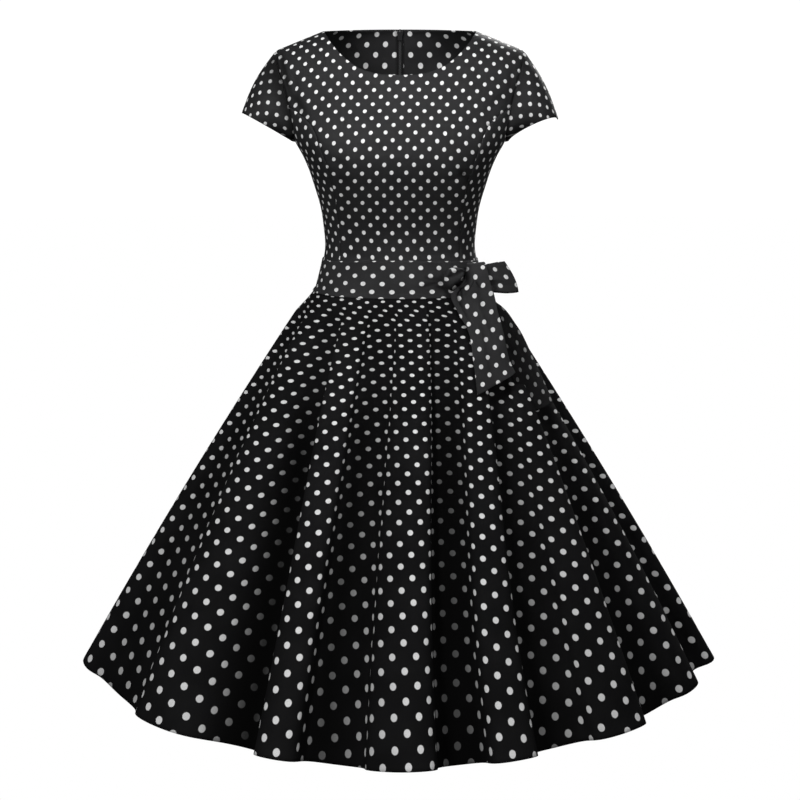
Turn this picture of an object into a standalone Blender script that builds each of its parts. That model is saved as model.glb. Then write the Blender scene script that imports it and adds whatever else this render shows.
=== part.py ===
"""A-line dress with cap sleeves, a folded swing skirt, a tied sash and a centre-back zip.

The dress keeps the hollow form of a worn garment. X runs to the wearer's left, -Y to the front and +Z up.
The origin lies midway between the two points where the neckline meets the shoulder seams.
Heights are negative below the shoulders. Angles round the body are degrees from the centre front,
growing towards the wearer's left. All lengths are metres.
"""
import math

import bmesh
import bpy
import numpy as np
from mathutils import Vector

for old in list(bpy.data.objects):
    bpy.data.objects.remove(old, do_unlink=True)

# Cloth
WALL = 0.0012
SEAM_GAP = 0.0003
LAY_GAP = 0.0004  # between a piece and the one that it lies on
MITRE_LEAST = 0.6  # least cosine between a wall's own normal and the one shared at a seam

# How finely seam lines and slopes are measured
LINE_SAMPLES = 60
ANGLE_STEP = 0.4
HEIGHT_STEP = 0.0008
FOLD_STEP = 0.004
SHARE_STEP = 0.002

# Neck, shoulders and waist
NECK_HALF = 0.1115
NECK_DROP = 0.0624
NECK_ROUND = 2.8
BACK_NECK_RISE = 0.0035
SHOULDER_SLOPE = 0.40
SHOULDER_HALF = 0.1815
CAP_START = -0.075  # above this the chest and back curve over to the shoulder line
CAP_TOP = 0.035
UNDERARM = -0.161
PRINCESS_TOP = -0.108
WAIST = -0.376
HEM = -0.967

# Torso sections from the waist up: height, half width, depth to the front, depth to the back, roundness
TORSO = np.array([
    (-0.376, 0.1240, 0.105, 0.097, 2.20),
    (-0.345, 0.1166, 0.099, 0.091, 2.20),
    (-0.317, 0.1118, 0.097, 0.089, 2.20),
    (-0.286, 0.1137, 0.102, 0.091, 2.25),
    (-0.259, 0.1174, 0.111, 0.095, 2.35),
    (-0.223, 0.1273, 0.126, 0.101, 2.50),
    (-0.197, 0.1357, 0.135, 0.105, 2.65),
    (-0.179, 0.1436, 0.137, 0.107, 2.70),
    (-0.161, 0.1537, 0.134, 0.109, 2.70),
    (-0.148, 0.1600, 0.130, 0.109, 2.65),
    (-0.130, 0.1690, 0.122, 0.108, 2.55),
    (-0.108, 0.1790, 0.110, 0.105, 2.40),
    (-0.087, 0.1865, 0.099, 0.101, 2.35),
    (-0.075, 0.1888, 0.093, 0.099, 2.30),
    (-0.060, 0.1890, 0.088, 0.098, 2.30),
    (-0.040, 0.1890, 0.083, 0.099, 2.30),
    (-0.020, 0.1890, 0.079, 0.102, 2.30),
    (0.000, 0.1890, 0.077, 0.110, 2.30),
    (0.055, 0.1890, 0.071, 0.124, 2.30),
])
BACK_ROUND = 2.3

# Seam lines on the bodice: height, distance from the middle
PRINCESS_SEAM = np.array([
    (-0.376, 0.0930), (-0.320, 0.0880), (-0.270, 0.0900), (-0.220, 0.0970), (-0.168, 0.1130),
    (-0.145, 0.1215), (-0.128, 0.1320), (-0.118, 0.1450), (-0.108, 0.1610),
])
ARMHOLE_FRONT = np.array([
    (-0.148, 0.1535), (-0.130, 0.1565), (-0.108, 0.1610), (-0.087, 0.1660), (-0.064, 0.1735),
    (-0.045, 0.1790),
])
ARMHOLE_BACK = np.array([
    (-0.150, 0.1560), (-0.130, 0.1620), (-0.105, 0.1680), (-0.080, 0.1730), (-0.055, 0.1785),
])
LOW_ROWS = 11  # rows of points from the waist to the armhole
FRONT_ROWS = 7  # from there up the front armhole
BACK_ROWS = 9  # up the back armhole
NECK_COLUMNS = 7
SHOULDER_COLUMNS = 3
SIDE_COLUMNS = 5

# Cap sleeve
SLEEVE_TIP = Vector((0.2312, 0.0, -0.1190))
SLEEVE_UNDER = Vector((0.1612, 0.0, -0.1590))
SLEEVE_DEPTH = 0.054
# Rise of each sleeve's hem between its tip and the underarm, as a share of its depth
SLEEVE_LIFT = {"sleeve_left": 0.28, "sleeve_right": 0.23}
SLEEVE_CROWN = 0.0062
CROWN_UNDERARM = 0.1  # the share of that swell left under the arm
SLEEVE_ROWS = 5

# Skirt: half width, depth to the front, depth to the back and roundness at the seam and at the hem
SKIRT_WAIST = (0.1240, 0.105, 0.097, 2.2)
SKIRT_HEM = (0.4720, 0.452, 0.448, 1.7)
SKIRT_BULGE = 0.0080
SKIRT_KICK = 0.0036  # the cloth leaves the waist seam more steeply than it falls
KICK_REACH = 0.020
FOLD_START = 0.020
FOLD_SETTLE = 0.050
FOLD_AT_WAIST = 0.10  # share of a fold's height near the waist
FOLD_DRIFT = 2.6
HEM_LIFT = 0.28  # a ridge carries the hem up by this share of its height, a valley lets it down
FOLD_EASE = 0.80  # how far the folds' flanks are drawn together
# Folds: ridge angle at the hem, at the waist, its height, then the valley after it in the same way
FOLDS = np.array([
    (-138.0, -132.0, 0.017, -127.0, -121.0, -0.019),
    (-115.0, -111.0, 0.018, -103.0, -101.0, -0.018),
    (-90.0, -92.0, 0.022, -64.0, -75.0, -0.022),
    (-46.0, -60.0, 0.019, -33.5, -43.0, -0.021),
    (-21.5, -26.0, 0.020, -11.5, -15.0, -0.017),
    (0.5, 8.0, 0.018, 11.5, 22.0, -0.020),
    (20.0, 33.0, 0.015, 32.0, 44.0, -0.020),
    (42.0, 55.0, 0.013, 56.5, 67.0, -0.022),
    (73.0, 79.0, 0.000, 83.0, 85.0, -0.020),
    (92.0, 90.0, 0.020, 103.0, 101.0, -0.018),
    (115.0, 112.0, 0.017, 126.0, 123.0, -0.020),
    (137.0, 134.0, 0.018, 147.0, 146.0, -0.018),
    (158.0, 157.0, 0.016, 169.0, 168.5, -0.017),
    (180.0, 180.0, 0.018, 190.5, 191.0, -0.019),
    (201.0, 203.0, 0.017, 211.5, 216.0, -0.020),
])
RIGHT_SEAM, LEFT_SEAM, BACK_SEAM = 2, 9, 13  # the folds along which the skirt panels meet
FOLD_STEPS = 8
SKIRT_ROWS = (0.0, 0.02, 0.07, 0.14, 0.23, 0.33, 0.44, 0.55, 0.66, 0.77, 0.885, 1.0)

# Sash
SASH_WALL = 0.0014
SASH_TOP_FRONT = -0.3275
SASH_TOP_SIDE = -0.3340
SASH_ROWS = 4
SASH_LOW = 0.45  # its lower edge, as a share of the skirt's first row
SASH_SLACK = 0.0006  # it stands off a little more at its lower edge

# Bow
KNOT_ANGLE = 40.0
KNOT_Z = -0.3545
KNOT_SIZE = (0.0160, 0.0100, 0.0185)
KNOT_SQUARE = 0.8
KNOT_STAND = 0.0012
KNOT_SEGMENTS = 14
KNOT_RINGS = 10
LOOP_STEPS = 22
LOOP_ROWS = 4
LOOP_SPREAD = 1.25  # a loop reaches its full height before its tip by this factor
LOOP_NECK = 0.45  # share of the hollow's thickness next to the knot
LOOP_END = 1.35  # and at the tip
# Loops: heading in degrees from the way round the body, length, height at the tip, height at the knot,
# how much shorter the top edge is, thickness of the hollow, drop of the tip
LOOPS = {
    "bow_loop_outer": (-18.0, 0.084, 0.041, 0.024, 0.022, 0.011, 0.001),
    "bow_loop_inner": (-66.0, 0.034, 0.033, 0.024, 0.002, 0.013, 0.001),
}
# Tails: share of the way down, then x, y and z of the left and the right edge as seen from the front, and
# how far the middle bows out between them
TAILS = {
    "bow_tail_front": np.array([
        (0.00, 0.0780, -0.0935, -0.3736, 0.0980, -0.0925, -0.3736, 0.000),
        (0.20, 0.0850, -0.1110, -0.3990, 0.1350, -0.1080, -0.3890, 0.003),
        (0.47, 0.0970, -0.1350, -0.4330, 0.1440, -0.1200, -0.4230, 0.003),
        (0.74, 0.1060, -0.1560, -0.4700, 0.1540, -0.1340, -0.4560, 0.004),
        (1.00, 0.1090, -0.1800, -0.5110, 0.1640, -0.1480, -0.4880, 0.004),
    ]),
    "bow_tail_back": np.array([
        (0.00, 0.0810, -0.0880, -0.3744, 0.0965, -0.0822, -0.3744, 0.000),
        (0.15, 0.1050, -0.0945, -0.3980, 0.1420, -0.0560, -0.3900, 0.008),
        (0.38, 0.1270, -0.1067, -0.4320, 0.1740, -0.0540, -0.4280, 0.006),
        (0.64, 0.1520, -0.1190, -0.4700, 0.1950, -0.0597, -0.4700, 0.006),
        (1.00, 0.1796, -0.1305, -0.5170, 0.2246, -0.0817, -0.5370, 0.013),
    ]),
}
TAIL_ROWS = 9
TAIL_COLUMNS = 6
TAIL_RIPPLE = 0.0014
RIPPLE_WAVES = 1.2
RIPPLE_START = 0.2

# Zip: tapes inside the centre-back seam, slider through it, pull tab outside
TAPE_WIDTH = 0.0052
TAPE_WALL = 0.0008
TAPE_END = -0.500
SLIDER_DROP = 0.0085  # from the back neckline to the middle of the slider, along the cloth
SLIDER_SIDE = (  # half of the slider body's outline: across, up
    (0.0030, -0.0065), (0.0034, -0.0005), (0.0045, 0.0035), (0.0045, 0.0055), (0.0035, 0.0065),
    (0.0010, 0.0065), (0.0, 0.0053),
)
SLIDER_DEEP = 0.0024
SLIDER_GAP = 0.0005
SLOT_HALF = 0.0016  # the cloth parts this far on each side of the slider's neck
SLOT_REACH = 0.0150
NECK_BAR = (0.0006, 0.0032)  # half width, half height
PLATE = (0.0024, 0.0036)
PLATE_TOP = 0.0017
PLATE_WALL = 0.0008
SINK = 0.0003  # how far the slider's joined parts run into one another
CORNER_CUT = 0.0009
CROWN_HALF = 0.0030
CROWN_OPEN = 0.0020
CROWN_WALL = 0.0009
CROWN_WIDE = 0.0008
TAB_HALF = 0.0026
TAB_WALL = 0.0010
TAB_LENGTH = 0.0210
TAB_LEAN = 4.0  # degrees that the hanging tab leans in towards the cloth
WINDOW_HALF = 0.0015
WINDOW_LONG = 0.0037
WINDOW_CUT = 0.0004

CLOTH = (0.012, 0.012, 0.013)
TAPE_BLACK = (0.020, 0.020, 0.021)
METAL_BLACK = (0.030, 0.030, 0.032)
SHARP_EDGE = 50.0


def smooth(table, value, column):
    """A smooth curve through a column of a table whose first column grows."""
    xs = table[:, 0]
    ys = table[:, column]
    value = min(max(value, xs[0]), xs[-1])
    i = min(max(int(np.searchsorted(xs, value)) - 1, 0), len(xs) - 2)
    slopes = np.gradient(ys, xs)
    span = xs[i + 1] - xs[i]
    f = (value - xs[i]) / span
    a = (1 + 2 * f) * (1 - f) ** 2 * ys[i] + f * (1 - f) ** 2 * span * slopes[i]
    b = f * f * (3 - 2 * f) * ys[i + 1] + f * f * (f - 1) * span * slopes[i + 1]
    return float(a + b)


def blend(a, b, f):
    return a + (b - a) * f


def signed_power(value, power):
    return math.copysign(abs(value) ** power, value)


# ---------------------------------------------------------------- torso surface

def shoulder_line(x):
    return SHOULDER_SLOPE * (NECK_HALF - abs(x))


def torso(angle, level):
    """A point of the bodice's middle surface.

    Below CAP_START the level is the height. From there to CAP_TOP the surface curves up to the
    shoulder line, and past CAP_TOP it runs on down the other side.
    """
    if level > CAP_TOP:
        return torso(180.0 - angle, 2 * CAP_TOP - level)
    radians = math.radians(angle)
    front = math.cos(radians) > 0
    section = min(level, CAP_START)
    roundness = smooth(TORSO, section, 4) if front else BACK_ROUND
    x = smooth(TORSO, section, 1) * signed_power(math.sin(radians), 2 / roundness)
    side = abs(math.cos(radians)) ** (2 / roundness)
    z = level
    curve = 1.0
    if level > CAP_START:
        turn = math.pi / 2 * (level - CAP_START) / (CAP_TOP - CAP_START)
        z = CAP_START + (shoulder_line(x) - CAP_START) * math.sin(turn)
        curve = math.cos(turn)
    depth = smooth(TORSO, z, 2 if front else 3)
    y = -depth * side * curve if front else depth * side * curve
    return Vector((x, y, z))


def torso_normal(angle, level):
    across = torso(angle + ANGLE_STEP, level) - torso(angle - ANGLE_STEP, level)
    up = torso(angle, level + HEIGHT_STEP) - torso(angle, level - HEIGHT_STEP)
    return across.cross(up).normalized()


def on_torso(x, z, front):
    """The angle and level of the surface point with this x and height."""
    level = z
    if z > CAP_START:
        rise = (z - CAP_START) / (shoulder_line(x) - CAP_START)
        level = CAP_START + (CAP_TOP - CAP_START) * math.asin(min(1.0, rise)) / (math.pi / 2)
    section = min(level, CAP_START)
    roundness = smooth(TORSO, section, 4) if front else BACK_ROUND
    share = min(1.0, abs(x) / smooth(TORSO, section, 1))
    angle = math.degrees(math.asin(share ** (roundness / 2)))
    return (angle if front else 180.0 - angle, level)


def spread(points, count):
    """Points at equal steps of surface length along a line given as angle and level."""
    places = [torso(*p) for p in points]
    run = [0.0]
    for a, b in zip(places, places[1:]):
        run.append(run[-1] + (b - a).length)
    wanted = np.linspace(0, run[-1], count + 1)
    angles = np.interp(wanted, run, [p[0] for p in points])
    levels = np.interp(wanted, run, [p[1] for p in points])
    return list(zip(angles, levels))


def seam_points(table, low, high, front):
    return [on_torso(smooth(table, z, 1), z, front) for z in np.linspace(low, high, LINE_SAMPLES)]


def coons(bottom, top, left, right):
    """Fills the angle and level grid between four edge lines."""
    bottom, top, left, right = (np.array(e) for e in (bottom, top, left, right))
    rows = len(left) - 1
    columns = len(bottom) - 1
    grid = []
    for i in range(rows + 1):
        v = i / rows
        row = []
        for j in range(columns + 1):
            w = j / columns
            corners = blend(blend(bottom[0], bottom[-1], w), blend(top[0], top[-1], w), v)
            row.append(tuple(blend(bottom[j], top[j], v) + blend(left[i], right[i], w) - corners))
        grid.append(row)
    return grid


# ---------------------------------------------------------------- skirt surface

def fold_shape(s):
    """Hem angle, waist angle and height of the folds at s, which counts folds."""
    index = math.floor(s)
    f = (s - index) * 2
    fold = FOLDS[index % len(FOLDS)]
    turn = 360.0 * (index // len(FOLDS))
    after = FOLDS[(index + 1) % len(FOLDS)]
    ahead = 360.0 * ((index + 1) // len(FOLDS))
    ridge = (fold[0] + turn, fold[1] + turn, fold[2])
    valley = (fold[3] + turn, fold[4] + turn, fold[5])
    start, end = ridge, valley
    if f >= 1:
        f -= 1
        start, end = valley, (after[0] + ahead, after[1] + ahead, after[2])
    eased = f + FOLD_EASE * math.sin(2 * math.pi * f) / (2 * math.pi)
    level = (1 - math.cos(math.pi * f)) / 2
    hem_angle, waist_angle = (blend(start[k], end[k], eased) for k in (0, 1))
    return hem_angle, waist_angle, blend(start[2], end[2], level)


def skirt_base(angle, t, out=0.0):
    """A point of the skirt without its folds, moved out from the axis. t runs from waist to hem."""
    half, front, back, roundness = (blend(a, b, t) for a, b in zip(SKIRT_WAIST, SKIRT_HEM))
    swell = 4 * SKIRT_BULGE * t * (1 - t) + SKIRT_KICK * (1 - math.exp(-t / KICK_REACH)) * (1 - t)
    radians = math.radians(angle)
    s, c = math.sin(radians), math.cos(radians)
    depth = front if c > 0 else back
    share = abs(s / (half + swell)) ** roundness + abs(c / (depth + swell)) ** roundness
    radius = share ** (-1 / roundness)
    return Vector((s * (radius + out), -c * (radius + out), blend(WAIST, HEM, t)))


def fold_growth(t):
    start = min(1.0, max(0.0, (t - FOLD_START) / FOLD_SETTLE))
    return blend(FOLD_AT_WAIST, 1.0, t) * start * start * (3 - 2 * start)


def skirt(s, t):
    hem_angle, waist_angle, height = fold_shape(s)
    angle = blend(hem_angle, waist_angle, (1 - t) ** FOLD_DRIFT)
    out = height * fold_growth(t)
    point = skirt_base(angle, t, out)
    point.z += HEM_LIFT * out * t
    return point


def skirt_normal(s, t):
    along = skirt(s + FOLD_STEP, t) - skirt(s - FOLD_STEP, t)
    down = skirt(s, min(1, t + SHARE_STEP)) - skirt(s, max(0, t - SHARE_STEP))
    return down.cross(along).normalized()


def skirt_t(z):
    return (z - WAIST) / (HEM - WAIST)


# ---------------------------------------------------------------- walls

def own_normals(grid, ring):
    """Normals of a grid of points, outwards when rows go down and columns go to the wearer's left."""
    rows, columns = len(grid), len(grid[0])
    normals = []
    for i in range(rows):
        row = []
        for j in range(columns):
            a, b = (j - 1, (j + 1) % columns) if ring else (max(j - 1, 0), min(j + 1, columns - 1))
            along = grid[i][b] - grid[i][a]
            down = grid[min(i + 1, rows - 1)][j] - grid[max(i - 1, 0)][j]
            row.append(down.cross(along).normalized())
        normals.append(row)
    return normals


def pull_back(grid, edges, amount):
    """Moves the named edges of a grid of points towards the next row or column."""
    moved = [[p.copy() for p in row] for row in grid]
    last_row, last_column = len(grid) - 1, len(grid[0]) - 1
    pairs = {
        "first_row": [((0, j), (1, j)) for j in range(last_column + 1)],
        "last_row": [((last_row, j), (last_row - 1, j)) for j in range(last_column + 1)],
        "first_column": [((i, 0), (i, 1)) for i in range(last_row + 1)],
        "last_column": [((i, last_column), (i, last_column - 1)) for i in range(last_row + 1)],
    }
    for edge in edges:
        for (i, j), (k, m) in pairs[edge]:
            moved[i][j] += (grid[k][m] - grid[i][j]).normalized() * amount
    return moved


def material(name, colour, roughness, metallic=0.0):
    made = bpy.data.materials.get(name)
    if made is None:
        made = bpy.data.materials.new(name)
        made.use_nodes = True
        shader = made.node_tree.nodes["Principled BSDF"]
        shader.inputs["Base Color"].default_value = (*colour, 1.0)
        shader.inputs["Roughness"].default_value = roughness
        shader.inputs["Metallic"].default_value = metallic
    return made


def finish(name, bm, surface):
    """Turns a closed bmesh into a named object with its faces outwards."""
    bm.normal_update()
    bmesh.ops.recalc_face_normals(bm, faces=bm.faces)
    mesh = bpy.data.meshes.new(name)
    bm.to_mesh(mesh)
    bm.free()
    mesh.shade_smooth()
    mesh.set_sharp_from_angle(angle=math.radians(SHARP_EDGE))
    mesh.materials.append(surface)
    obj = bpy.data.objects.new(name, mesh)
    bpy.context.scene.collection.objects.link(obj)
    obj.parent = dress
    return obj


def split(bm, a, b, c, d, first):
    """Two triangles over four corners, parted from a to c when first is true and from b to d otherwise."""
    for corners in ((a, b, c), (a, c, d)) if first else ((a, b, d), (b, c, d)):
        bm.faces.new(corners)


def cloth_wall(name, grid, normals, wall=WALL, ring=False, surface=None):
    """A closed wall on both sides of a grid of points, or of rings of points."""
    bm = bmesh.new()
    sheets = []
    for side in (0.5, -0.5):
        sheets.append([[bm.verts.new(p + n * (wall * side)) for p, n in zip(row, normal_row)]
                       for row, normal_row in zip(grid, normals)])
    outer, inner = sheets
    rows, columns = len(grid), len(grid[0])
    pairs = [(j, (j + 1) % columns) for j in range(columns if ring else columns - 1)]
    for i in range(rows - 1):
        for j, k in pairs:
            shorter = (grid[i][j] - grid[i + 1][k]).length < (grid[i][k] - grid[i + 1][j]).length
            for sheet in sheets:
                split(bm, sheet[i][j], sheet[i][k], sheet[i + 1][k], sheet[i + 1][j], shorter)
    ends = [((i, j), (i, k)) for i in (0, rows - 1) for j, k in pairs]
    if not ring:
        ends += [((i, j), (i + 1, j)) for j in (0, columns - 1) for i in range(rows - 1)]
    for (i, j), (k, m) in ends:
        # walls that share a seam are parted alike, from the outer side of its higher end
        falling = grid[i][j].z > grid[k][m].z
        split(bm, outer[i][j], outer[k][m], inner[k][m], inner[i][j], falling)
    return finish(name, bm, surface or material("cloth", CLOTH, 0.75))


def level_normals(row):
    return [Vector((n.x, n.y, 0)).normalized() for n in row]


# ---------------------------------------------------------------- bodice

def side_lines():
    """The bodice's seam lines on the wearer's left, as lists of angle and level."""
    lines = {}
    lines["princess"] = spread(seam_points(PRINCESS_SEAM, WAIST, PRINCESS_TOP, True), LOW_ROWS)
    lines["side"] = [(90.0, z) for z in np.linspace(WAIST, UNDERARM, LOW_ROWS + 1)]
    tip = on_torso(SHOULDER_HALF, shoulder_line(SHOULDER_HALF), True)
    arm_low = [(90.0, UNDERARM)] + seam_points(ARMHOLE_FRONT, ARMHOLE_FRONT[0, 0], PRINCESS_TOP, True)
    arm_high = seam_points(ARMHOLE_FRONT, PRINCESS_TOP, ARMHOLE_FRONT[-1, 0], True) + [tip]
    arm_back = [(90.0, UNDERARM)] + seam_points(ARMHOLE_BACK, ARMHOLE_BACK[0, 0], ARMHOLE_BACK[-1, 0], False)
    lines["arm_low"] = spread(arm_low, SIDE_COLUMNS)
    lines["arm_high"] = spread(arm_high, FRONT_ROWS)
    lines["arm_back"] = spread(arm_back + [(180.0 - tip[0], tip[1])], BACK_ROWS)
    neck = on_torso(NECK_HALF, 0.0, True)
    shoulder = [on_torso(x, shoulder_line(x), True)
                for x in np.linspace(NECK_HALF, SHOULDER_HALF, LINE_SAMPLES)]
    lines["shoulder"] = spread(shoulder, SHOULDER_COLUMNS)
    front_neck = [on_torso(x, -NECK_DROP * (1 - (x / NECK_HALF) ** NECK_ROUND), True)
                  for x in NECK_HALF * np.sin(np.linspace(0, math.pi / 2, LINE_SAMPLES))]
    lines["front_neck"] = spread(front_neck[:-1] + [neck], NECK_COLUMNS)
    back_neck = [on_torso(x, BACK_NECK_RISE * (1 - (x / NECK_HALF) ** 2), False)
                 for x in NECK_HALF * np.sin(np.linspace(0, math.pi / 2, LINE_SAMPLES))]
    lines["back_neck"] = spread(back_neck[:-1] + [(180.0 - neck[0], neck[1])], NECK_COLUMNS)
    return lines


def sleeve_grid(armhole, lift):
    """Rows of the cap sleeve from its armhole seam to its hem."""
    run = [0.0]
    for a, b in zip(armhole, armhole[1:] + armhole[:1]):
        run.append(run[-1] + (b - a).length)
    under = min(range(len(armhole)), key=lambda k: (armhole[k] - SLEEVE_UNDER).length)
    middle = (SLEEVE_TIP + SLEEVE_UNDER) / 2
    reach = (SLEEVE_TIP - SLEEVE_UNDER) / 2
    hub = sum(armhole, Vector()) / len(armhole)
    rows = [[] for _ in range(SLEEVE_ROWS + 1)]
    for k, point in enumerate(armhole):
        front = k <= under
        share = run[k] / run[under] if front else (run[k] - run[under]) / (run[-1] - run[under])
        turn = math.pi * share if front else math.pi * (1 + share)
        deep = SLEEVE_DEPTH * math.sin(turn)
        hem = middle + reach * math.cos(turn) + Vector((0, -deep, lift * abs(deep)))
        crown = SLEEVE_CROWN * blend(CROWN_UNDERARM, 1.0, math.cos(turn / 2) ** 2)
        axis = (middle - hub).normalized()
        for i in range(SLEEVE_ROWS + 1):
            f = i / SLEEVE_ROWS
            place = point.lerp(hem, f)
            away = place - blend(hub, middle, f)
            away -= axis * away.dot(axis)
            rows[i].append(place + away.normalized() * crown * math.sin(math.pi * f))
    return rows


def mitre(a, b):
    """The shared normal of two walls that meet at a seam, long enough to keep their thickness."""
    middle = (a + b).normalized()
    return middle / max(MITRE_LEAST, middle.dot(a))


def flip_x(vector):
    return Vector((-vector.x, vector.y, vector.z))


def bodice_panels():
    """Points and normals of the front's left half, the left side front and the left back."""
    lines = side_lines()
    columns = NECK_COLUMNS + SHOULDER_COLUMNS
    princess_angle = lines["princess"][0][0]
    neck_level = lines["front_neck"][0][1]
    centre = [(0.0, z) for z in np.linspace(WAIST, PRINCESS_TOP, LOW_ROWS + 1)]
    centre += [(0.0, z) for z in np.linspace(PRINCESS_TOP, neck_level, FRONT_ROWS + 1)][1:]
    half = coons(
        [(a, WAIST) for a in np.linspace(0, princess_angle, columns + 1)],
        lines["front_neck"] + lines["shoulder"][1:],
        centre,
        lines["princess"] + lines["arm_high"][1:])
    side = coons(
        [(a, WAIST) for a in np.linspace(princess_angle, 90, SIDE_COLUMNS + 1)],
        lines["arm_low"][::-1],
        lines["princess"],
        lines["side"])
    top = lines["back_neck"] + [(180.0 - a, level) for a, level in lines["shoulder"][1:]]
    back = coons(
        [(a, WAIST) for a in np.linspace(90, 180, columns + 1)],
        top[::-1],
        lines["side"] + lines["arm_back"][1:],
        [(180.0, z) for z in np.linspace(WAIST, top[0][1], LOW_ROWS + BACK_ROWS + 1)])
    panels = {"half": half, "side": side, "back": back}
    points = {k: [[torso(*p) for p in row] for row in v] for k, v in panels.items()}
    normals = {k: [[torso_normal(*p) for p in row] for row in v] for k, v in panels.items()}
    return points, normals


def set_in_sleeves(points, normals):
    """Both sleeves as left ones. Their seam shares its points and normals with the panels round it."""
    # the armhole ring runs from the shoulder down the front to the underarm and up the back
    places = [("half", i, -1) for i in range(LOW_ROWS + FRONT_ROWS, LOW_ROWS - 1, -1)]
    places += [("side", LOW_ROWS, j) for j in range(1, SIDE_COLUMNS + 1)]
    places += [("back", i, 0) for i in range(LOW_ROWS + 1, LOW_ROWS + BACK_ROWS)]
    armhole = [points[k][i][j] for k, i, j in places]
    sleeves = {name: sleeve_grid(armhole, lift) for name, lift in SLEEVE_LIFT.items()}
    sleeve_normals = {k: [[-n for n in row] for row in own_normals(v, True)] for k, v in sleeves.items()}
    first_rows = zip(*(grid[0] for grid in sleeve_normals.values()))
    seam = [mitre(normals[k][i][j], (a + b).normalized()) for (k, i, j), (a, b) in zip(places, first_rows)]
    for (k, i, j), shared in zip(places, seam):
        normals[k][i][j] = shared
    for grid in sleeve_normals.values():
        grid[0] = seam
    normals["side"][LOW_ROWS][0] = normals["half"][LOW_ROWS][-1]
    normals["back"][LOW_ROWS][0] = normals["side"][LOW_ROWS][-1]
    normals["back"][-1][0] = normals["half"][-1][-1]
    return sleeves, sleeve_normals


def make_bodice():
    """Makes the bodice's panels and sleeves, and returns the left half's points and normals."""
    points, normals = bodice_panels()
    sleeves, sleeve_normals = set_in_sleeves(points, normals)
    for grid in normals.values():
        grid[0] = level_normals(grid[0])
    gap = SEAM_GAP / 2
    whole = [[flip_x(p) for p in row[:0:-1]] + row for row in points["half"]]
    whole_normals = [[flip_x(n) for n in row[:0:-1]] + row for row in normals["half"]]
    whole = pull_back(whole, ("first_column", "last_column", "first_row"), gap)
    cut_shoulder(whole, gap)
    cloth_wall("front_centre", whole, whole_normals)
    side = pull_back(points["side"], ("first_column", "last_column", "first_row", "last_row"), gap)
    cloth_wall("front_side_left", side, normals["side"])
    mirror_wall("front_side_right", side, normals["side"])
    back = pull_back(points["back"], ("first_column", "last_column", "first_row"), gap)
    cut_shoulder(back, gap)
    part_for_slider(back)
    cloth_wall("back_left", back, normals["back"])
    mirror_wall("back_right", back, normals["back"])
    for (name, sleeve), make in zip(sleeves.items(), (cloth_wall, mirror_wall)):
        make(name, pull_back(sleeve, ("first_row",), gap), sleeve_normals[name], ring=True)
    return points, normals


def cut_shoulder(grid, gap):
    """Draws the top row back from the shoulder seam, where it reaches the shoulder line."""
    for j, point in enumerate(grid[-1]):
        if abs(point.y) < gap:
            grid[-1][j] = point + (grid[-2][j] - point).normalized() * gap


def mirror_wall(name, grid, normals, **options):
    """The same wall on the wearer's right."""
    turned = [[flip_x(p) for p in row[::-1]] for row in grid]
    turned_normals = [[flip_x(n) for n in row[::-1]] for row in normals]
    return cloth_wall(name, turned, turned_normals, **options)


def part_for_slider(grid):
    """Parts the centre-back edges at the top, where the zip's slider passes between them."""
    for row in grid:
        if (row[-1] - grid[-1][-1]).length < SLOT_REACH:
            row[-1].x += SLOT_HALF


# ---------------------------------------------------------------- skirt

def make_skirt():
    """Makes the three skirt panels, and returns the left back panel's points and normals."""
    spans = {
        "skirt_front": (RIGHT_SEAM, LEFT_SEAM),
        "skirt_back_right": (BACK_SEAM, RIGHT_SEAM + len(FOLDS)),
        "skirt_back_left": (LEFT_SEAM, BACK_SEAM),
    }
    for name, (first, last) in spans.items():
        stations = np.linspace(first, last, (last - first) * FOLD_STEPS + 1)
        grid = [[skirt(s, t) for s in stations] for t in SKIRT_ROWS]
        normals = [[skirt_normal(s, t) for s in stations] for t in SKIRT_ROWS]
        normals[0] = level_normals(normals[0])
        seamed = pull_back(grid, ("first_row", "first_column", "last_column"), SEAM_GAP / 2)
        cloth_wall(name, seamed, normals)
    return grid, normals


# ---------------------------------------------------------------- sash

def at_height(column, z):
    """The point of a column of points at a height."""
    for low, high in zip(column, column[1:]):
        if high.z >= z:
            break
    return low.lerp(high, (z - low.z) / (high.z - low.z))


def make_sash(points):
    """A band round the waist, made from the bodice's own points moved out."""
    rows_up = []
    for half, side, back in zip(*(points[k][:LOW_ROWS] for k in ("half", "side", "back"))):
        left = half[:-1] + side[:-1] + back
        rows_up.append(left + [flip_x(p) for p in left[-2:0:-1]])
    rows = []
    for column in zip(*rows_up):
        angle = math.atan2(column[0].x, -column[0].y)
        top = blend(SASH_TOP_FRONT, SASH_TOP_SIDE, math.sin(angle) ** 2)
        kick = skirt_base(math.degrees(angle), SKIRT_ROWS[1]) - skirt_base(math.degrees(angle), 0)
        rise = [at_height(column, blend(WAIST, top, f)) for f in np.linspace(0, 1, SASH_ROWS)]
        rows.append([column[0] + kick * SASH_LOW] + rise)
    grid, normals = [], []
    for index, row in enumerate(zip(*rows)):
        out = WALL / 2 + LAY_GAP + SASH_WALL / 2 + SASH_SLACK * (1 - index / SASH_ROWS)
        neighbours = zip(row[-1:] + row, row[1:] + row[:1])
        around = [(b - a).cross(Vector((0, 0, 1))).normalized() for a, b in neighbours]
        grid.append([p + n * out for p, n in zip(row, around)])
        normals.append(around)
    cloth_wall("sash", grid, normals, SASH_WALL, ring=True)


# ---------------------------------------------------------------- bow

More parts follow.
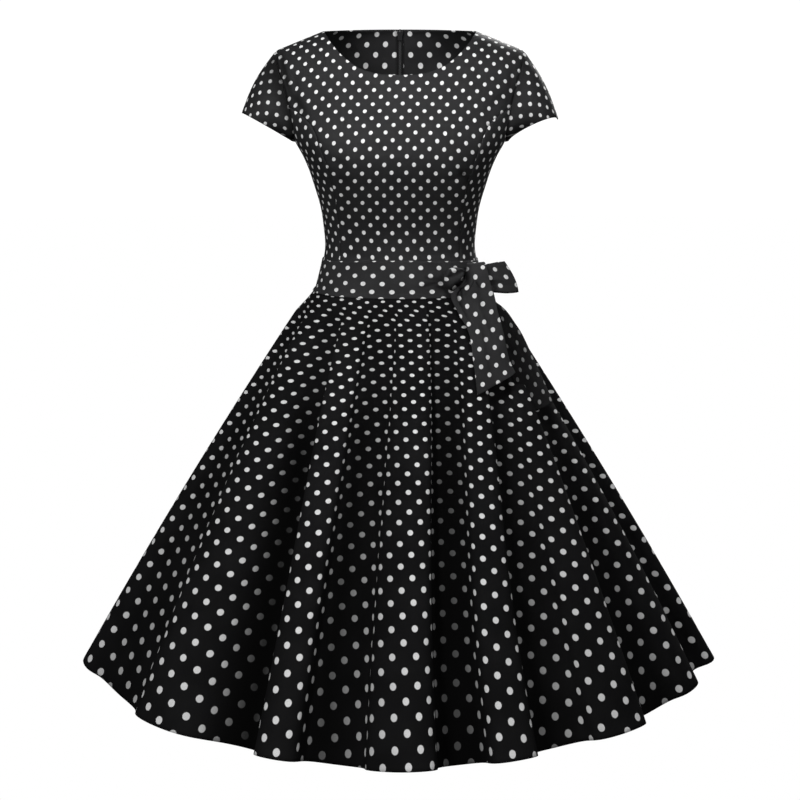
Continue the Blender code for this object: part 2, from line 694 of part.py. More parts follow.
def knot_frame():
    """Knot centre, the way out of the body, and the way round it to the wearer's left and back."""
    surface = torso(KNOT_ANGLE, KNOT_Z)
    normal = torso_normal(KNOT_ANGLE, KNOT_Z)
    out = Vector((normal.x, normal.y, 0)).normalized()
    clear = WALL / 2 + LAY_GAP + SASH_WALL + SASH_SLACK + KNOT_STAND + KNOT_SIZE[1]
    return surface + out * clear, out, Vector((0, 0, 1)).cross(out)


def make_knot():
    """A squarish lump with hollow sides, not a ball."""
    centre, out, round_way = knot_frame()
    bm = bmesh.new()
    bmesh.ops.create_uvsphere(bm, u_segments=KNOT_SEGMENTS, v_segments=KNOT_RINGS, radius=1.0)
    for v in bm.verts:
        square = [signed_power(c, KNOT_SQUARE) for c in v.co]
        v.co = centre + (round_way * (square[0] * KNOT_SIZE[0]) + out * (square[1] * KNOT_SIZE[1])
                         + Vector((0, 0, square[2] * KNOT_SIZE[2])))
    finish("bow_knot", bm, material("cloth", CLOTH, 0.75))


def knot_reach(direction):
    """Distance from the knot's centre to its side in a level direction."""
    centre, out, round_way = knot_frame()
    a = direction.dot(round_way) / KNOT_SIZE[0]
    b = direction.dot(out) / KNOT_SIZE[1]
    power = 2 / KNOT_SQUARE
    return (abs(a) ** power + abs(b) ** power) ** (-1 / power)


def loop_grid(heading, length, tall, gathered, slant, hollow, drop):
    """Rings of a folded-back strip that starts and ends at the knot."""
    centre, out, round_way = knot_frame()
    turn = math.radians(heading)
    ahead = round_way * math.cos(turn) - out * math.sin(turn)
    across = Vector((0, 0, 1)).cross(ahead)
    start = knot_reach(ahead) + LAY_GAP + WALL / 2
    grid = []
    for i in range(LOOP_ROWS + 1):
        v = 1 - 2 * i / LOOP_ROWS
        row = []
        for k in range(LOOP_STEPS):
            angle = 2 * math.pi * k / LOOP_STEPS
            run = (1 - math.cos(angle)) / 2
            reach = start + (length - slant * (v + 1) / 2) * run
            height = v * blend(gathered, tall, min(1.0, LOOP_SPREAD * run)) / 2 - drop * run
            wide = hollow / 2 * math.sin(angle) * blend(LOOP_NECK, LOOP_END, run)
            row.append(centre + ahead * reach + across * wide + Vector((0, 0, height)))
        grid.append(row)
    return grid


def make_loops():
    for name, sizes in LOOPS.items():
        grid = loop_grid(*sizes)
        cloth_wall(name, grid, own_normals(grid, True), ring=True)


def tail_point(tail, down, across):
    """A point of a tail, down its length and across it, both from 0 to 1."""
    left = Vector(smooth(tail, down, k) for k in (1, 2, 3))
    right = Vector(smooth(tail, down, k) for k in (4, 5, 6))
    bow = smooth(tail, down, 7) * 4 * across * (1 - across)
    ripple = TAIL_RIPPLE * math.sin(2 * math.pi * (RIPPLE_WAVES * across + RIPPLE_START)) * down
    point = left.lerp(right, across)
    return point + Vector((point.x, point.y, 0)).normalized() * (bow + ripple)


def make_tails():
    for name, tail in TAILS.items():
        grid = [[tail_point(tail, i / TAIL_ROWS, j / TAIL_COLUMNS) for j in range(TAIL_COLUMNS + 1)]
                for i in range(TAIL_ROWS + 1)]
        cloth_wall(name, grid, own_normals(grid, False))


# ---------------------------------------------------------------- zip

def along_row(row, normals, distance):
    """The point and normal at a distance from a row's last point, along the row."""
    walked = 0.0
    for k in range(len(row) - 1, 0, -1):
        step = (row[k - 1] - row[k]).length
        if walked + step >= distance or k == 1:
            f = (distance - walked) / step
            return row[k].lerp(row[k - 1], f), normals[k].lerp(normals[k - 1], f).normalized()
        walked += step


def centre_back_rows(bodice, skirt_panel):
    """Rows of the left bodice back and skirt back that meet the centre back, from the neck down."""
    points, normals = bodice
    rows = list(zip(points["back"], normals["back"]))[::-1]
    rows += [pair for pair in list(zip(*skirt_panel))[1:] if pair[0][-1].z > TAPE_END]
    return rows


def make_tapes(bodice, skirt_panel):
    """Two strips inside the centre-back seam, from the slider to below the waist."""
    inside = WALL / 2 + LAY_GAP + TAPE_WALL / 2
    rows = centre_back_rows(bodice, skirt_panel)
    start = SLIDER_DROP - SLIDER_SIDE[0][1] + SEAM_GAP
    grid, normals = [], []
    walked = 0.0
    for (upper, upper_normals), (row, row_normals) in zip(rows, rows[1:]):
        step = (row[-1] - upper[-1]).length
        cuts = [1.0]
        if walked < start < walked + step:
            cuts = [(start - walked) / step, 1.0]
        walked += step
        if walked < start:
            continue
        for cut in cuts:
            line, line_normals = [], []
            for distance in (SEAM_GAP / 2, TAPE_WIDTH):
                above, normal_above = along_row(upper, upper_normals, distance)
                here, normal_here = along_row(row, row_normals, distance)
                normal = normal_above.lerp(normal_here, cut).normalized()
                line.append(above.lerp(here, cut) - normal * inside)
                line_normals.append(normal)
            grid.append(line)
            normals.append(line_normals)
    surface = material("zip tape", TAPE_BLACK, 0.6)
    cloth_wall("zip_tape_left", grid, normals, TAPE_WALL, surface=surface)
    mirror_wall("zip_tape_right", grid, normals, wall=TAPE_WALL, surface=surface)


def slider_frame(points):
    """The slider's place on the centre back, the way up along the cloth and the way out of it."""
    top, below = points["back"][-1][-1], points["back"][-2][-1]
    up = (top - below).normalized()
    return top - up * SLIDER_DROP, up, up.cross(Vector((1, 0, 0)))


def prism(name, outline, place, low, high):
    """An outline drawn in two directions and extruded along a third."""
    bm = bmesh.new()
    face = bm.faces.new([bm.verts.new(place(u, v, low)) for u, v in outline])
    made = bmesh.ops.extrude_face_region(bm, geom=[face])["geom"]
    for v in (g for g in made if isinstance(g, bmesh.types.BMVert)):
        v.co += place(0, 0, high) - place(0, 0, low)
    return finish(name, bm, material("zip metal", METAL_BLACK, 0.35, 0.8))


def cut_corners(half, low, high, cut):
    """The outline of a rectangle with its corners cut off."""
    side = [(half - cut, low), (half, low + cut), (half, high - cut), (half - cut, high)]
    return side + [(-u, v) for u, v in side[::-1]]


def make_slider(centre, up, out):
    """Body inside the cloth, neck through the seam, plate and crown outside, joined into one."""
    def flat(u, v, w):
        return centre + Vector((u, 0, 0)) + up * v + out * w

    def edgewise(u, v, w):
        return centre + Vector((w, 0, 0)) + up * v + out * u

    body_top = -WALL / 2 - SLIDER_GAP
    body_outline = list(SLIDER_SIDE) + [(-u, v) for u, v in SLIDER_SIDE[-2::-1]]
    body = prism("zip_slider", body_outline, flat, body_top - SLIDER_DEEP, body_top)
    root, roof, leg = PLATE_TOP - SINK, PLATE_TOP + CROWN_OPEN, CROWN_HALF - CROWN_WALL
    crest = roof + CROWN_WALL
    crown = [(root, -CROWN_HALF), (roof, -CROWN_HALF), (crest, -leg), (crest, leg), (roof, CROWN_HALF),
             (root, CROWN_HALF), (root, leg), (roof, leg), (roof, -leg), (root, -leg)]
    neck = [(a * NECK_BAR[0], b * NECK_BAR[1]) for a, b in ((-1, -1), (1, -1), (1, 1), (-1, 1))]
    plate = cut_corners(PLATE[0], -PLATE[1], PLATE[1], CORNER_CUT)
    plate_low = PLATE_TOP - PLATE_WALL
    joined = (
        prism("neck cutter", neck, flat, body_top - SINK, plate_low + SINK),
        prism("plate cutter", plate, flat, plate_low, PLATE_TOP),
        prism("crown cutter", crown, edgewise, -CROWN_WIDE, CROWN_WIDE),
    )
    for piece in joined:
        piece.hide_render = True
        piece.display_type = "WIRE"
        union = body.modifiers.new(piece.name, "BOOLEAN")
        union.operation = "UNION"
        union.object = piece


def make_tab(centre, up, out):
    """A flat tab whose cross-bar lies under the slider's crown. It turns about its own origin."""
    lean = math.radians(TAB_LEAN)
    down = -(up * math.cos(lean) + out * math.sin(lean))
    away = out * math.cos(lean) - up * math.sin(lean)
    bar = TAB_WALL / 2
    outlines = (
        cut_corners(TAB_HALF, -bar, TAB_LENGTH, CORNER_CUT),
        cut_corners(WINDOW_HALF, bar, bar + WINDOW_LONG, WINDOW_CUT),
    )
    grid = [[Vector((u, 0, 0)) + down * v for u, v in outline] for outline in outlines]
    normals = [[away] * len(outline) for outline in outlines]
    surface = material("zip metal", METAL_BLACK, 0.35, 0.8)
    tab = cloth_wall("zip_pull_tab", grid, normals, TAB_WALL, ring=True, surface=surface)
    tab.location = centre + out * (PLATE_TOP + CROWN_OPEN / 2)


dress = bpy.data.objects.new("dress", None)
bpy.context.scene.collection.objects.link(dress)
bodice_half = make_bodice()
skirt_back = make_skirt()
make_sash(bodice_half[0])
make_knot()
make_loops()
make_tails()
make_tapes(bodice_half, skirt_back)
zip_place = slider_frame(bodice_half[0])
make_slider(*zip_place)
make_tab(*zip_place)
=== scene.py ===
import math

import bmesh
import bpy
import numpy as np
from mathutils import Matrix, Vector


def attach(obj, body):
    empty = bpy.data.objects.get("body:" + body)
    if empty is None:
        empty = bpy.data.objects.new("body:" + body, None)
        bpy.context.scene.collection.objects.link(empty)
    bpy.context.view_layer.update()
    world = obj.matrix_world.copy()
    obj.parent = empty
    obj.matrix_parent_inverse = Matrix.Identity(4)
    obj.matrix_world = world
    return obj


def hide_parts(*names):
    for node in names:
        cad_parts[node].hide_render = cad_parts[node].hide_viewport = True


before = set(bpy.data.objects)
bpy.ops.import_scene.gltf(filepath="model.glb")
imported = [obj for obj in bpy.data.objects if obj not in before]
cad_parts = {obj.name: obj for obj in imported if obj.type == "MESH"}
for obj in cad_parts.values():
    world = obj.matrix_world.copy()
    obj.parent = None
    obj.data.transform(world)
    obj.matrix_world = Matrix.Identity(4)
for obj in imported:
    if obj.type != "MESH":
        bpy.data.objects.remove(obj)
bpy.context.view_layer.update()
print("solids loaded")

# Heights are measured down from the shoulders, angles round the body from the centre front towards the
# wearer's left. Grids of points hold rows from the bottom up on the bodice and from the top down elsewhere.
cloth = {
    "wall": 0.0007,
    "turnedEdge": 1.7,     # how much thicker a turned edge is
    "seamDip": 0.0007,     # depth of the groove at a seam
    "seamWidth": 0.0024,
    "seamGap": 0.00002,
    "weld": 0.00001,
}

def smoothCurve(table, values, column):
    heights, sizes = table[:, 0], table[:, column]
    slopes = np.gradient(sizes, heights)
    values = np.clip(values, heights[0], heights[-1])
    i = np.clip(np.searchsorted(heights, values) - 1, 0, len(heights) - 2)
    span = heights[i + 1] - heights[i]
    f = (values - heights[i]) / span
    near = (1 + 2 * f) * (1 - f) ** 2 * sizes[i] + f * (1 - f) ** 2 * span * slopes[i]
    return near + f * f * (3 - 2 * f) * sizes[i + 1] + f * f * (f - 1) * span * slopes[i + 1]


def mixed(a, b, f):
    return a + (b - a) * f
def stacked(*values):
    return np.stack(np.broadcast_arrays(*values), axis=-1)

def easeIn(values, start, end):
    f = np.clip((values - start) / (end - start), 0, 1)
    return f * f * (3 - 2 * f)


def unit(vectors):
    return vectors / np.maximum(np.linalg.norm(vectors, axis=-1, keepdims=True), 1e-12)

def levelUnit(vectors):
    return unit(vectors * np.array([1, 1, 0]))

def signedPower(values, power):
    return np.sign(values) * np.abs(values) ** power


def runAlong(points, axis):
    # length walked along the rows or the columns of a grid
    steps = np.linalg.norm(np.diff(points, axis=axis), axis=-1)
    start = np.zeros_like(np.take(steps, [0], axis=axis))
    return np.concatenate([start, np.cumsum(steps, axis=axis)], axis=axis)


def gridNormals(points, ring=False):
    # outwards when rows go down and columns go to the wearer's left
    if ring:
        wrapped = np.concatenate([points[:, -2:-1], points, points[:, 1:2]], axis=1)
        across = (wrapped[:, 2:] - wrapped[:, :-2])
    else:
        across = np.gradient(points, axis=1)
    down = np.gradient(points, axis=0)
    return unit(np.cross(down, across))

def strokes(lines, points):
    # Soft lines, as seen from the front. Each has two ends, how far its middle bends aside, its width and
    # its height.
    flat = points[..., [0, 2]]
    raised = np.zeros(flat.shape[:-1])
    for ax, az, bx, bz, bend, width, height in lines:
        ab = np.array([bx - ax, bz - az])
        length = np.linalg.norm(ab)
        ab /= length
        offset = flat - np.array([ax, az])
        along = (offset @ ab) / length
        beside = offset @ np.array([-ab[1], ab[0]]) - bend * 4 * along * (1 - along)
        fade = easeIn(along, -0.15, 0.25) * (1 - easeIn(along, 0.6, 1.15))
        raised += height * np.exp(-(beside / width) ** 2) * fade
    return raised


def creased(points, normals, creases):
    return points + normals * strokes(creases, points)[..., None]


def shaded(shadows, points):
    return 1 - np.clip(strokes(shadows, points), 0, 0.9)


def meshFrom(bm, name):
    mesh = bpy.data.meshes.new(name)
    bm.to_mesh(mesh)
    bm.free()
    return mesh


def linked(name, data):
    made = bpy.data.objects.new(name, data)
    bpy.context.scene.collection.objects.link(made)
    return made


def sheetPiece(name, points, dots, thread, finish, light, thick=None, wall=cloth["wall"], ring=False,
               outwards=False):
    # A cloth piece from a grid of points, with a map for its print and one for its threads. Each point keeps
    # its share of the full thickness and its share of painted light, which darkens its colour as painted
    # shade.
    rows, columns = points.shape[0] - 1, points.shape[1] - 1
    bm = bmesh.new()
    bmesh.ops.create_grid(bm, x_segments=columns, y_segments=rows, size=0.5)
    place = {}
    for vertex in bm.verts:
        place[vertex.index] = (round((vertex.co.y + 0.5) * rows), round((vertex.co.x + 0.5) * columns))
        vertex.co = Vector(points[place[vertex.index]])
    for label, flat in (("dots", dots), ("thread", thread)):
        layer = bm.loops.layers.uv.new(label)
        for face in bm.faces:
            for corner in face.loops:
                corner[layer].uv = flat[place[corner.vert.index]]
    weights = bm.verts.layers.deform.new()
    lit = bm.verts.layers.float.new("open_to_light")
    for vertex in bm.verts:
        vertex[weights][0] = 1.0 if thick is None else float(thick[place[vertex.index]])
        vertex[lit] = float(light[place[vertex.index]])
    if ring:
        bmesh.ops.remove_doubles(bm, verts=bm.verts, dist=cloth["weld"])
    if not outwards:
        bmesh.ops.reverse_faces(bm, faces=bm.faces)
    mesh = meshFrom(bm, name)
    mesh.shade_smooth()
    mesh.materials.append(finish)
    piece = linked(name, mesh)
    piece.vertex_groups.new(name="thickness")
    solid = piece.modifiers.new("thickness", "SOLIDIFY")
    solid.thickness = wall * cloth["turnedEdge"]
    solid.vertex_group = "thickness"
    solid.offset = 0.0
    solid.use_even_offset = False
    return piece


def declareCloth(piece, nodes, points):
    # its cut size and area, measured over the piece itself
    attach(piece, "dress")
    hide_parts(*nodes.split())
    width = float(runAlong(points, 1)[:, -1].max())
    length = float(runAlong(points, 0)[-1].max())
    a, b = points[1:, 1:] - points[:-1, :-1], points[1:, :-1] - points[:-1, 1:]
    area = float(np.linalg.norm(np.cross(a, b), axis=-1).sum() / 2)
    print(f"{piece.name}: {width:.3f} by {length:.3f} m, {area:.4f} square metres")


# Shader maths is written as sums of wires

class Wire:
    def __init__(self, finish, socket):
        self.finish = finish
        self.socket = socket

    def maths(self, operation, *values):
        node = self.finish.node("ShaderNodeMath", {"operation": operation}, dict(enumerate(values)))
        return self.finish.wire(node)
    def __add__(self, other):
        return self.maths("ADD", self, other)

    __radd__ = __add__

    def __sub__(self, other):
        return self.maths("SUBTRACT", self, other)

    def __rsub__(self, other):
        return self.maths("SUBTRACT", other, self)

    def __mul__(self, other):
        return self.maths("MULTIPLY", self, other)

    __rmul__ = __mul__
    def __pow__(self, other):
        return self.maths("POWER", self, other)

    def rounded(self):
        return self.maths("ROUND", self)

    def least(self, other):
        return self.maths("MINIMUM", self, other)
    def sine(self):
        return self.maths("SINE", self)
    def stepBetween(self, low, high):
        node = self.finish.node(
            "ShaderNodeMapRange", {"interpolation_type": "SMOOTHSTEP"},
            {"Value": self, "From Min": low, "From Max": high, "To Min": 0.0, "To Max": 1.0})
        return self.finish.wire(node, "Result")

class Finish:
    def __init__(self, name):
        self.material = bpy.data.materials.new(name)
        self.material.use_nodes = True
        self.tree = self.material.node_tree
        self.shader = self.tree.nodes["Principled BSDF"]

    def plug(self, target, value):
        if isinstance(value, Wire):
            value = value.socket
        if isinstance(value, bpy.types.NodeSocket):
            self.tree.links.new(value, target)
        else:
            target.default_value = value

    def node(self, kind, settings, sockets):
        made = self.tree.nodes.new(kind)
        for name, value in settings.items():
            setattr(made, name, value)
        for key, value in sockets.items():
            self.plug(made.inputs[key], value)
        return made

    def wire(self, node, output=0):
        return Wire(self, node.outputs[output])
    def parts(self, kind, output, **settings):
        # the three numbers of a place, each as a wire
        source = self.node(kind, settings, {})
        split = self.node("ShaderNodeSeparateXYZ", {}, {0: source.outputs[output]})
        return [self.wire(split, k) for k in range(3)]

    def noise(self, scale, detail, roughness=0.5):
        ground = self.node("ShaderNodeTexCoord", {}, {})
        return self.wire(self.node("ShaderNodeTexNoise", {}, {
            "Vector": ground.outputs["Object"], "Scale": scale, "Detail": detail, "Roughness": roughness}))

    def bump(self, strength, height):
        made = self.node("ShaderNodeBump", {}, {"Strength": strength, "Distance": 0.0002, "Height": height})
        return made.outputs[0]
    def mixColours(self, share, first, second):
        node = self.node("ShaderNodeMix", {"data_type": "RGBA"}, {0: share, 6: first, 7: second})
        return node.outputs[2]

    def set(self, **sockets):
        for name, value in sockets.items():
            self.plug(self.shader.inputs[name.replace("_", " ")], value)

def grey(value, blue=None):
    return (value, value, blue or value, 1)


cotton = {
    "threadPitch": 0.0009,
    # scale, detail and roughness of the noise
    "grain": (900.0, 2.0, 0.6), "mottle": (14.0, 3.0, 0.55),
    "mottleShare": 0.7, "grainShare": 0.3, "blackSpan": (0.35, 0.65), "whiteSpan": (0.3, 0.7),
    "threadHeight": 0.5, "grainHeight": 0.8, "dotHeight": 0.25,
    # roughness from the mottle and where shade is painted, and the near-black colour that painted shade mixes
    # towards
    "mottleRoughness": 0.08, "foldRoughness": 0.3, "paintedShade": grey(0.001),
}


def dottedCloth(name, look):
    finish = Finish(name)
    across, along, _ = finish.parts("ShaderNodeUVMap", 0, uv_map="dots")

    def toNearest(shift):
        u, v = across + shift, along + shift
        u, v = u - u.rounded(), v - v.rounded()
        return (u * u + v * v) ** 0.5

    radius, blur = look["dotRadius"], look["dotBlur"]
    dot = 1 - toNearest(0.0).least(toNearest(0.5)).stepBetween(radius - blur, radius + blur)
    weft, warp, _ = finish.parts("ShaderNodeUVMap", 0, uv_map="thread")
    turn = 2 * math.pi / cotton["threadPitch"]
    weave = (weft * turn).sine() * (warp * turn).sine()
    grain, mottle = finish.noise(*cotton["grain"]), finish.noise(*cotton["mottle"])
    patches = mottle * cotton["mottleShare"] + grain * cotton["grainShare"]
    patches = patches.stepBetween(*cotton["blackSpan"])
    black = finish.mixColours(patches, look["deepBlack"], look["paleBlack"])
    white = finish.mixColours(grain.stepBetween(*cotton["whiteSpan"]), look["dotShade"], look["dotWhite"])
    lit = finish.wire(finish.node("ShaderNodeAttribute", {"attribute_name": "open_to_light"}, {}), 2)
    height = weave * cotton["threadHeight"] + grain * cotton["grainHeight"] + dot * cotton["dotHeight"]
    rough = mottle * cotton["mottleRoughness"] + (1 - lit) * cotton["foldRoughness"] + look["roughness"]
    # painted shade: the colour mixes towards a near-black where the point's share of painted light is low
    colour = finish.mixColours(lit, cotton["paintedShade"], finish.mixColours(dot, black, white))
    finish.set(Base_Color=colour, Roughness=rough, Normal=finish.bump(look["weaveBump"], height),
               Specular_IOR_Level=look["shine"])
    return finish.material


# Three copies of the one dotted cloth whose blacks and dots differ in tone as painted light and shade: the
# skirt's blacks darker, the sash's blacks lighter and its dots darker.
bodiceCloth = dottedCloth("bodice_cloth", {
    "dotRadius": 0.131, "dotBlur": 0.016, "weaveBump": 0.35, "roughness": 0.62, "shine": 0.12,
    "deepBlack": grey(0.0085, 0.009), "paleBlack": grey(0.0125, 0.013),
    "dotShade": grey(0.43), "dotWhite": grey(0.52),
})
sashCloth = dottedCloth("sash_cloth", {
    "dotRadius": 0.132, "dotBlur": 0.014, "weaveBump": 0.35, "roughness": 0.7, "shine": 0.04,
    "deepBlack": grey(0.0125, 0.013), "paleBlack": grey(0.018, 0.0185),
    "dotShade": grey(0.37), "dotWhite": grey(0.45),
})
skirtCloth = dottedCloth("skirt_cloth", {
    "dotRadius": 0.13, "dotBlur": 0.012, "weaveBump": 0.3, "roughness": 0.9, "shine": 0.02,
    "deepBlack": grey(0.0046, 0.0048), "paleBlack": grey(0.007, 0.0073),
    "dotShade": grey(0.44), "dotWhite": grey(0.53),
})
print("cloth finishes made")

bodice = {
    "neckHalf": 0.1115, "neckDrop": 0.0624, "neckRound": 2.8, "backNeckRise": 0.0035,
    "shoulderSlope": 0.4, "shoulderHalf": 0.1815, "capStart": -0.075, "capTop": 0.035,
    "underarm": -0.161, "princessTop": -0.108, "waist": -0.376, "backRound": 2.3,
    # height, half width, depth to the front, depth to the back, roundness
    "torso": np.array([
        (-0.376, 0.124, 0.105, 0.097, 2.2),
        (-0.345, 0.1166, 0.099, 0.091, 2.2),
        (-0.317, 0.1118, 0.097, 0.089, 2.2),
        (-0.286, 0.1137, 0.102, 0.091, 2.25),
        (-0.259, 0.1174, 0.111, 0.095, 2.35),
        (-0.223, 0.1273, 0.126, 0.101, 2.5),
        (-0.197, 0.1357, 0.135, 0.105, 2.65),
        (-0.179, 0.1436, 0.137, 0.107, 2.7),
        (-0.161, 0.1537, 0.134, 0.109, 2.7),
        (-0.148, 0.16, 0.13, 0.109, 2.65),
        (-0.13, 0.169, 0.122, 0.108, 2.55),
        (-0.108, 0.179, 0.11, 0.105, 2.4),
        (-0.087, 0.1865, 0.099, 0.101, 2.35),
        (-0.075, 0.1888, 0.093, 0.099, 2.3),
        (-0.06, 0.189, 0.088, 0.098, 2.3),
        (-0.04, 0.189, 0.083, 0.099, 2.3),
        (-0.02, 0.189, 0.079, 0.102, 2.3),
        (0.0, 0.189, 0.077, 0.11, 2.3),
        (0.055, 0.189, 0.071, 0.124, 2.3),
    ]),
    # height, distance from the middle
    "princessSeam": np.array([
        (-0.376, 0.093), (-0.32, 0.088), (-0.27, 0.09), (-0.22, 0.097), (-0.168, 0.113),
        (-0.145, 0.1215), (-0.128, 0.132), (-0.118, 0.145), (-0.108, 0.161),
    ]),
    "armholeFront": np.array([
        (-0.148, 0.1535), (-0.13, 0.1565), (-0.108, 0.161), (-0.087, 0.166), (-0.064, 0.1735),
        (-0.045, 0.179),
    ]),
    "armholeBack": np.array([
        (-0.15, 0.156), (-0.13, 0.162), (-0.105, 0.168), (-0.08, 0.173), (-0.055, 0.1785),
    ]),
    "detail": 8, "turned": 0.006,
    # the rule that lays the front's dots: across by width and height, down by the length from the waist
    "frontAcross": (46.24, -7.12, 67.9, -7.69, -16.76, -0.793), "frontDown": (-39.61, -9.02, -11.59, 9.141),
    # distance between every second dot, across and along, and the place of the first
    "sidePeriod": (0.0208, 0.023), "sidePhase": {"left": (0.4, 0.04), "right": (0.87, 0.04)},
    "backPeriod": (0.0288, 0.0328), "backPhase": {"left": (0.582, 0.3), "right": (0.302, 0.3)},
}

def shoulderHeight(x):
    return bodice["shoulderSlope"] * (bodice["neckHalf"] - np.abs(x))


def torsoPoints(angle, level):
    b = bodice
    angle, level = np.asarray(angle, float), np.asarray(level, float)
    over = level > b["capTop"]
    angle = np.where(over, 180.0 - angle, angle)
    level = np.where(over, 2 * b["capTop"] - level, level)
    radians = np.radians(angle)
    front = np.cos(radians) > 0
    section = np.minimum(level, b["capStart"])
    roundness = np.where(front, smoothCurve(b["torso"], section, 4), b["backRound"])
    x = smoothCurve(b["torso"], section, 1) * signedPower(np.sin(radians), 2 / roundness)
    side = np.abs(np.cos(radians)) ** (2 / roundness)
    turn = math.pi / 2 * np.clip((level - b["capStart"]) / (b["capTop"] - b["capStart"]), 0, 1)
    high = b["capStart"] + (shoulderHeight(x) - b["capStart"]) * np.sin(turn)
    z = np.where(level > b["capStart"], high, level)
    depth = np.where(front, smoothCurve(b["torso"], z, 2), smoothCurve(b["torso"], z, 3))
    return stacked(x, np.where(front, -1, 1) * depth * side * np.cos(turn), z)


def onTorso(x, z, front):
    # the angle and level of the surface point with this x and height
    b = bodice
    x, z = np.asarray(x, float), np.asarray(z, float)
    rise = np.clip((z - b["capStart"]) / (shoulderHeight(x) - b["capStart"]), 0, 1)
    high = b["capStart"] + (b["capTop"] - b["capStart"]) * np.arcsin(rise) / (math.pi / 2)
    level = np.where(z > b["capStart"], high, z)
    section = np.minimum(level, b["capStart"])
    roundness = smoothCurve(b["torso"], section, 4) if front else b["backRound"]
    share = np.clip(np.abs(x) / smoothCurve(b["torso"], section, 1), 0, 1)
    angle = np.degrees(np.arcsin(share ** (roundness / 2)))
    return stacked(angle if front else 180.0 - angle, level)


def behind(line):
    return stacked(180.0 - line[..., 0], line[..., 1])


def spread(line, count):
    # the same line with points at equal steps of surface length
    run = runAlong(torsoPoints(line[:, 0], line[:, 1]), 0)
    wanted = np.linspace(0, run[-1], count + 1)
    return stacked(*(np.interp(wanted, run, line[:, k]) for k in (0, 1)))

def betweenEdges(bottom, top, left, right):
    # fills a grid of angles and levels between four edge lines
    v = np.linspace(0, 1, len(left))[:, None, None]
    w = np.linspace(0, 1, len(bottom))[None, :, None]
    corners = mixed(mixed(bottom[0], bottom[-1], w), mixed(top[0], top[-1], w), v)
    return mixed(bottom[None], top[None], v) + mixed(left[:, None], right[:, None], w) - corners

def bodiceGrids():
    b, k = bodice, bodice["detail"]
    lowRows, frontRows, backRows = 11 * k, 7 * k, 9 * k
    neckColumns, shoulderColumns, sideColumns = 7 * k, 3 * k, 5 * k
    columns = neckColumns + shoulderColumns
    fine = 240

    def seam(table, low, high, front):
        z = np.linspace(low, high, fine)
        return onTorso(smoothCurve(table, z, 1), z, front)

    def straight(angle, low, high, count):
        return stacked(angle, np.linspace(low, high, count + 1))

    def waist(start, end, count):
        return stacked(np.linspace(start, end, count + 1), b["waist"])

    princess = spread(seam(b["princessSeam"], b["waist"], b["princessTop"], True), lowRows)
    side = straight(90.0, b["waist"], b["underarm"], lowRows)
    tip = onTorso(b["shoulderHalf"], shoulderHeight(b["shoulderHalf"]), True)
    under = np.array([[90.0, b["underarm"]]])
    frontHole, backHole = b["armholeFront"], b["armholeBack"]
    armLow = spread(np.vstack([under, seam(frontHole, frontHole[0, 0], b["princessTop"], True)]), sideColumns)
    armHigh = spread(np.vstack([seam(frontHole, b["princessTop"], frontHole[-1, 0], True), tip]), frontRows)
    armBack = np.vstack([under, seam(backHole, backHole[0, 0], backHole[-1, 0], False), behind(tip)])
    armBack = spread(armBack, backRows)
    x = np.linspace(b["neckHalf"], b["shoulderHalf"], fine)
    shoulder = spread(onTorso(x, shoulderHeight(x), True), shoulderColumns)
    x = b["neckHalf"] * np.sin(np.linspace(0, math.pi / 2, fine))
    neck = onTorso(b["neckHalf"], 0.0, True)
    front = onTorso(x, -b["neckDrop"] * (1 - (x / b["neckHalf"]) ** b["neckRound"]), True)
    back = onTorso(x, b["backNeckRise"] * (1 - (x / b["neckHalf"]) ** 2), False)
    frontNeck = spread(np.vstack([front[:-1], neck]), neckColumns)
    backNeck = spread(np.vstack([back[:-1], behind(neck)]), neckColumns)

    centre = np.vstack([straight(0.0, b["waist"], b["princessTop"], lowRows),
                        straight(0.0, b["princessTop"], frontNeck[0, 1], frontRows)[1:]])
    half = betweenEdges(waist(0, princess[0, 0], columns), np.vstack([frontNeck, shoulder[1:]]),
                        centre, np.vstack([princess, armHigh[1:]]))
    sideFront = betweenEdges(waist(princess[0, 0], 90, sideColumns), armLow[::-1], princess, side)
    top = np.vstack([backNeck, behind(shoulder[1:])])
    back = betweenEdges(waist(90, 180, columns), top[::-1], np.vstack([side, armBack[1:]]),
                        straight(180.0, b["waist"], top[0, 1], lowRows + backRows))
    grids = {"half": half, "side": sideFront, "back": back}
    points = {name: torsoPoints(grid[..., 0], grid[..., 1]) for name, grid in grids.items()}
    # the armhole runs from the shoulder down the front to the underarm and up the back
    hole = [points["half"][lowRows + frontRows:lowRows:-1, -1], points["half"][lowRows:lowRows + 1, -1],
            points["side"][lowRows, 1:], points["back"][lowRows + 1:-1, 0]]
    return points, np.vstack(hole)


# each edge of a grid and the line of points beside it
besideEdge = {"left": (np.s_[:, 0], np.s_[:, 1]), "right": (np.s_[:, -1], np.s_[:, -2]),
              "first": (0, 1), "last": (-1, -2)}


def drawnIn(points, edges):
    moved = points.copy()
    for edge in edges:
        end, beside = besideEdge[edge]
        moved[end] += unit(points[beside] - points[end]) * cloth["seamGap"]
    return moved


def seamed(points, normals, edges, depth=cloth["seamDip"]):
    # the cloth turns in a little at each seam, and ends just short of it
    across, along = runAlong(points, 1), runAlong(points, 0)
    far = {"left": across, "right": across[:, -1:] - across, "first": along, "last": along[-1:] - along}
    dip = np.max([depth * np.exp(-(far[edge] / cloth["seamWidth"]) ** 2) for edge in edges], axis=0)
    return drawnIn(points - normals * dip[..., None], edges)


def turnedEnd(points, width):
    # 1 where the cloth is turned under along the last row, less elsewhere
    plain, along = 1 / cloth["turnedEdge"], runAlong(points, 0)
    return np.maximum(plain, mixed(1.0, plain, easeIn(along[-1:] - along, width * 0.85, width * 1.15)))


